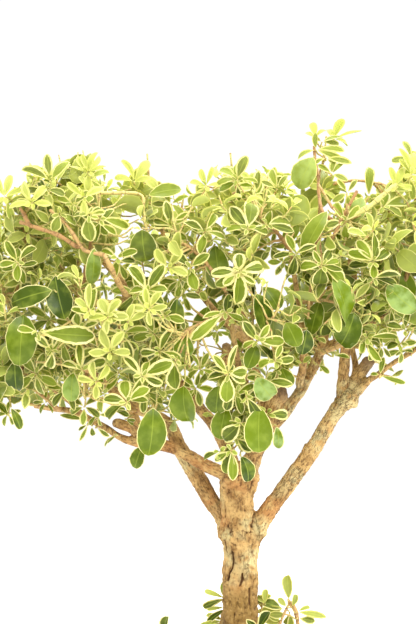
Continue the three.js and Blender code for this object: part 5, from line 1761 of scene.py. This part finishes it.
class SerissaColours(bpy.types.PropertyGroup):
    """Colours of the plant, its pot and the paper."""

    bark: colour("Bark", "Old bark in shade", "9C7542")
    bark_ruddy: colour("Ruddy bark", "Inner bark where flakes fell", "B8804A")
    # Darker bark towards the bottom of the trunk
    bark_low: colour("Damp bark", "Bark near the soil", "87692F")
    bark_pale: colour("Pale bark", "Fresh bark under the flakes", "D2AC6E")
    bark_crack: colour("Bark crack", "Cracks between the plates", "5E3F22")
    # Also the pale patches that are partly painted light on lit bark and on wood in the crown's shade
    bark_grey: colour("Grey bark", "Old bark bleached by rain", "CDBE88")
    cut_wood: colour("Cut wood", "Weathered saw cuts", "7E644C")
    twig: colour("Twig", "Older twigs", "AE824E")
    twig_green: colour("Green twig", "Twig tips", "D8D178")
    leaf_green: colour("Leaf", "Blade of an edged leaf", "8CA01F")
    leaf_deep: colour("Deep leaf", "Darker blades", "3E5112")
    broad_green: colour("Broad leaf", "Blade of a broad leaf", "768C0B")
    broad_deep: colour("Deep broad leaf", "Darker broad blades", "405509")
    leaf_light: colour("Light leaf", "Flecks and ribs", "AEBE44")
    # Painted sheen: the bright surround reflected in glossy blades, painted into their colour
    painted_leaf_sheen: colour("Mint leaf", "Blades that shine in the light", "A8C478")
    leaf_under: colour("Under leaf", "Under sides", "B0BE78")
    cream: colour("Cream", "Rims of edged leaves", "FFF5B4")
    cream_green: colour("Green cream", "Greener rims", "EEE690")
    new_growth: colour("New growth", "Youngest leaves", "E4E878")
    clay: colour("Clay", "Stoneware", "6B4A3A")
    clay_light: colour("Light clay", "Stoneware where wiped", "7E5A46")
    iron: colour("Iron", "Specks in the clay", "2E201A")
    soil: colour("Soil", "Granules", "8A6A48")
    soil_dark: colour("Dark soil", "Damp granules", "4A3828")
    soil_pale: colour("Pale soil", "Dusty granules", "B8A486")
    screen: colour("Screen", "Ribs of the drainage screens", "2B2B2B")
    # Painted shade for the holes of the drainage screens
    screen_hole_shade: colour("Screen hole", "Holes of the drainage screens", "0C0C0C")
    paper: colour("Paper", "Studio floor", "F6F6F4")
    paper_shade: colour("Paper shade", "Fibres of the studio floor", "ECEBE8")


class SerissaStudio(bpy.types.PropertyGroup):
    """Light of the studio."""

    surround: FloatProperty(
        name="Surround", description="Strength of the white surround", default=1.05, min=0
    )
    softbox_power: FloatProperty(
        name="Softboxes", description="Power of the strongest softbox", default=10.5, unit="POWER"
    )


# ---- Operators ----

TWIG_NAME = "Serissa twig, thin young skin"
LEAF_NAMES = ("Variegated serissa leaf, waxy and cream edged", "Green serissa leaf, glossy and fully grown")


class AddPot(bpy.types.Operator):
    """Adds the stoneware pot"""

    bl_idname = "serissa.add_pot"
    bl_label = "Pot"

    def execute(self, context):
        clay = paint("Stoneware, pressed and left unglazed", stoneware)
        add_piece("pot_body", pot_mesh(), [clay], "pot_stoneware", "pot")
        return {"FINISHED"}


class FinishScreens(bpy.types.Operator):
    """Gives the drainage screens their material"""

    bl_idname = "serissa.finish_screens"
    bl_label = "Drainage screens"

    def execute(self, context):
        plastic = paint("Polypropylene mesh, moulded", plastic_mesh)
        finish_node("drain_screen_left", plastic)
        finish_node("drain_screen_right", plastic)
        return {"FINISHED"}


class AddSoil(bpy.types.Operator):
    """Finishes the soil and covers it with granules"""

    bl_idname = "serissa.add_soil"
    bl_label = "Soil"

    def execute(self, context):
        sizes = context.scene.serissa_sizes
        finish_node("soil", paint("Bonsai soil, packed", clay_soil, False))
        granules = granule_mesh(np.random.default_rng(sizes.seed), sizes.granule_spacing / MM)
        loose = paint("Clay granules, baked and crushed", clay_soil, True)
        add_piece("soil_granules", granules, [loose], "potting_soil")
        return {"FINISHED"}


class AddWood(bpy.types.Operator):
    """Adds the bark of the trunk, roots and limbs"""

    bl_idname = "serissa.add_wood"
    bl_label = "Woody frame"

    def execute(self, context):
        skin = bark_mesh(context.scene.serissa_sizes)
        old_bark = paint("Serissa bark, weathered in flakes", bark)
        add_piece("woody_frame_bark", skin, [old_bark], "bark", "woody_frame")
        return {"FINISHED"}


class AddBranchlets(bpy.types.Operator):
    """Adds the twigs and leaves of the crown"""

    bl_idname = "serissa.add_branchlets"
    bl_label = "Leafy branchlets"

    def execute(self, context):
        sizes = context.scene.serissa_sizes
        rng = np.random.default_rng(sizes.seed)
        crown = Crown()
        branchlets = {}
        for name, (*middle, reach) in SPRAYS.items():
            middle = np.array(middle) + PLANTING
            foot = LEAFY_WOOD[nearest(LEAFY_WOOD, middle)[0]]
            run = middle - foot
            knee = foot + run * STEM["knee"] + UP * np.linalg.norm(run) * STEM["rise"]
            beyond = middle + (unit(run) * STEM["ahead"] + UP * STEM["up"]) * reach * STEM["beyond"]
            stem = smooth_path(np.vstack((bow(foot, knee, knee, middle, STEM["points"]), beyond)), STEM_STEP)
            branchlets[name] = Branchlet(stem, sizes.stem_radius / MM, middle)
        show_wood(crown)
        grow_bare_twigs(crown, branchlets, BARE_TWIGS)
        grow_sprigs(rng, crown, branchlets, BROAD_LEAVES, BROAD, AGES["broad"])
        grow_sprigs(rng, crown, branchlets, EDGED_SPRIGS, EDGED, AGES["edged"])
        grow_sprigs(rng, crown, branchlets, YOUNG_SPRIGS, EDGED, AGES["young"])
        grow_sprigs(rng, crown, branchlets, filling_sprigs(rng), EDGED, AGES["filling"])
        back_sprigs(rng, crown)
        grow_spurs(rng, crown, branchlets)
        twig = paint(TWIG_NAME, twig_skin)
        edged, broad = LEAF_NAMES
        leaves = [paint(edged, leaf_blade, "leaf_green", "leaf_deep", 0.42, 0.3, 0.32),
                  paint(broad, leaf_blade, "broad_green", "broad_deep", 0.29, 0.4, 0.25)]
        for index, (name, branchlet) in enumerate(branchlets.items()):
            own = np.random.default_rng((sizes.seed, index))
            fill_branchlet(own, crown, branchlet, SPRAYS[name][3], sizes)
            stems, blades = branchlet_meshes(name, branchlet, own)
            add_piece(f"{name}_twigs", stems, [twig], "bark", f"spray_{name}")
            add_piece(f"{name}_leaves", blades, leaves, "foliage", f"spray_{name}")
        return {"FINISHED"}


class AddSuckers(bpy.types.Operator):
    """Adds the young shoots at the foot of the trunk"""

    bl_idname = "serissa.add_suckers"
    bl_label = "Suckers"

    def execute(self, context):
        twig = bpy.data.materials[TWIG_NAME]
        leaves = [bpy.data.materials[name] for name in LEAF_NAMES]
        for index, (name, (girth, *points)) in enumerate(SUCKERS.items()):
            rng = np.random.default_rng((context.scene.serissa_sizes.seed, SUCKER_SEEDS + index))
            stem = smooth_path(np.array(points) + PLANTING, STEM_STEP)
            sucker = Branchlet(stem, girth)
            for pale, *sprig in SUCKER_SPRIGS[name].values():
                base, blades = sprig_leaves(rng, sprig, EDGED, pale)
                sucker.add_twig(rng, base, UP)
                sucker.leaves += blades
            for radius, *pixels in SUCKER_TWIGS.get(name, {}).values():
                path = smooth_path([from_picture(*pixel) for pixel in pixels], STEM_STEP)
                sucker.twigs.append((path, np.full(len(path), radius), None))
            stems, blades = branchlet_meshes(name, sucker, rng)
            add_piece(f"{name}_twigs", stems, [twig], "bark", name)
            add_piece(f"{name}_leaves", blades, leaves, "young_foliage", name)
        return {"FINISHED"}


class AddStudio(bpy.types.Operator):
    """Adds the paper floor, the lights and the camera"""

    bl_idname = "serissa.add_studio"
    bl_label = "Studio"

    def execute(self, context):
        scene = context.scene
        studio = scene.serissa_studio
        sweep = bmesh.new()
        bmesh.ops.create_circle(sweep, cap_ends=True, segments=FLOOR_SIDES, radius=FLOOR_RADIUS)
        bmesh.ops.translate(sweep, verts=sweep.verts, vec=(0, 0, -FLOOR_GAP))
        floor = link_object("floor", bmesh_to_mesh("floor", sweep))
        floor.data.materials.append(paint("Paper sweep, matt", paper))

        world = bpy.data.worlds.new("White surround")
        world.use_nodes = True
        background = world.node_tree.nodes["Background"]
        background.inputs["Color"].default_value = (1, 1, 1, 1)
        background.inputs["Strength"].default_value = studio.surround
        scene.world = world

        aim = Vector((np.array(AIM) + PLANTING) * MM)
        for name, (place, size, share) in SOFTBOXES.items():
            light = bpy.data.lights.new(name, "AREA")
            light.size = size
            light.energy = studio.softbox_power * share
            box = link_object(name, light)
            box.location = place
            box.rotation_euler = (aim - box.location).to_track_quat("-Z", "Y").to_euler()
            box.visible_camera = False

        camera = bpy.data.cameras.new("camera")
        camera.sensor_fit = "VERTICAL"
        camera.sensor_height = SENSOR
        camera.lens = SENSOR * -EYE[1] / (PICTURE_HEIGHT * MM_PER_PIXEL)
        camera.clip_start = CLIP_START
        eye = link_object("camera", camera)
        eye.location = (EYE + PLANTING) * MM
        eye.rotation_euler = (math.pi / 2, 0, 0)
        scene.camera = eye

        scene.view_settings.view_transform = "Standard"
        scene.view_settings.look = "None"
        for key, count in BOUNCES.items():
            setattr(scene.cycles, key, count)
        return {"FINISHED"}


PIECES = (AddPot, FinishScreens, AddSoil, AddWood, AddBranchlets, AddSuckers, AddStudio)


class SerissaPanel(bpy.types.Panel):
    """Lists the pieces of the bonsai, with their sizes and colours"""

    bl_idname = "VIEW3D_PT_serissa"
    bl_label = "Serissa bonsai"
    bl_space_type = "VIEW_3D"
    bl_region_type = "UI"
    bl_category = "Serissa"

    def draw(self, context):
        for piece in PIECES:
            self.layout.operator(piece.bl_idname)
        for group in (getattr(context.scene, key) for key in GROUPS):
            box = self.layout.box()
            for key in group.__annotations__:
                box.prop(group, key)


GROUPS = {"serissa_sizes": SerissaSizes, "serissa_colours": SerissaColours, "serissa_studio": SerissaStudio}


def register():
    for cls in (*GROUPS.values(), *PIECES, SerissaPanel):
        bpy.utils.register_class(cls)
    for key, group in GROUPS.items():
        setattr(bpy.types.Scene, key, PointerProperty(type=group))


def unregister():
    for key in GROUPS:
        delattr(bpy.types.Scene, key)
    for cls in reversed((*GROUPS.values(), *PIECES, SerissaPanel)):
        bpy.utils.unregister_class(cls)


def main():
    register()
    for piece in PIECES:
        namespace, name = piece.bl_idname.split(".")
        getattr(getattr(bpy.ops, namespace), name)()


if __name__ == "__main__":
    main()
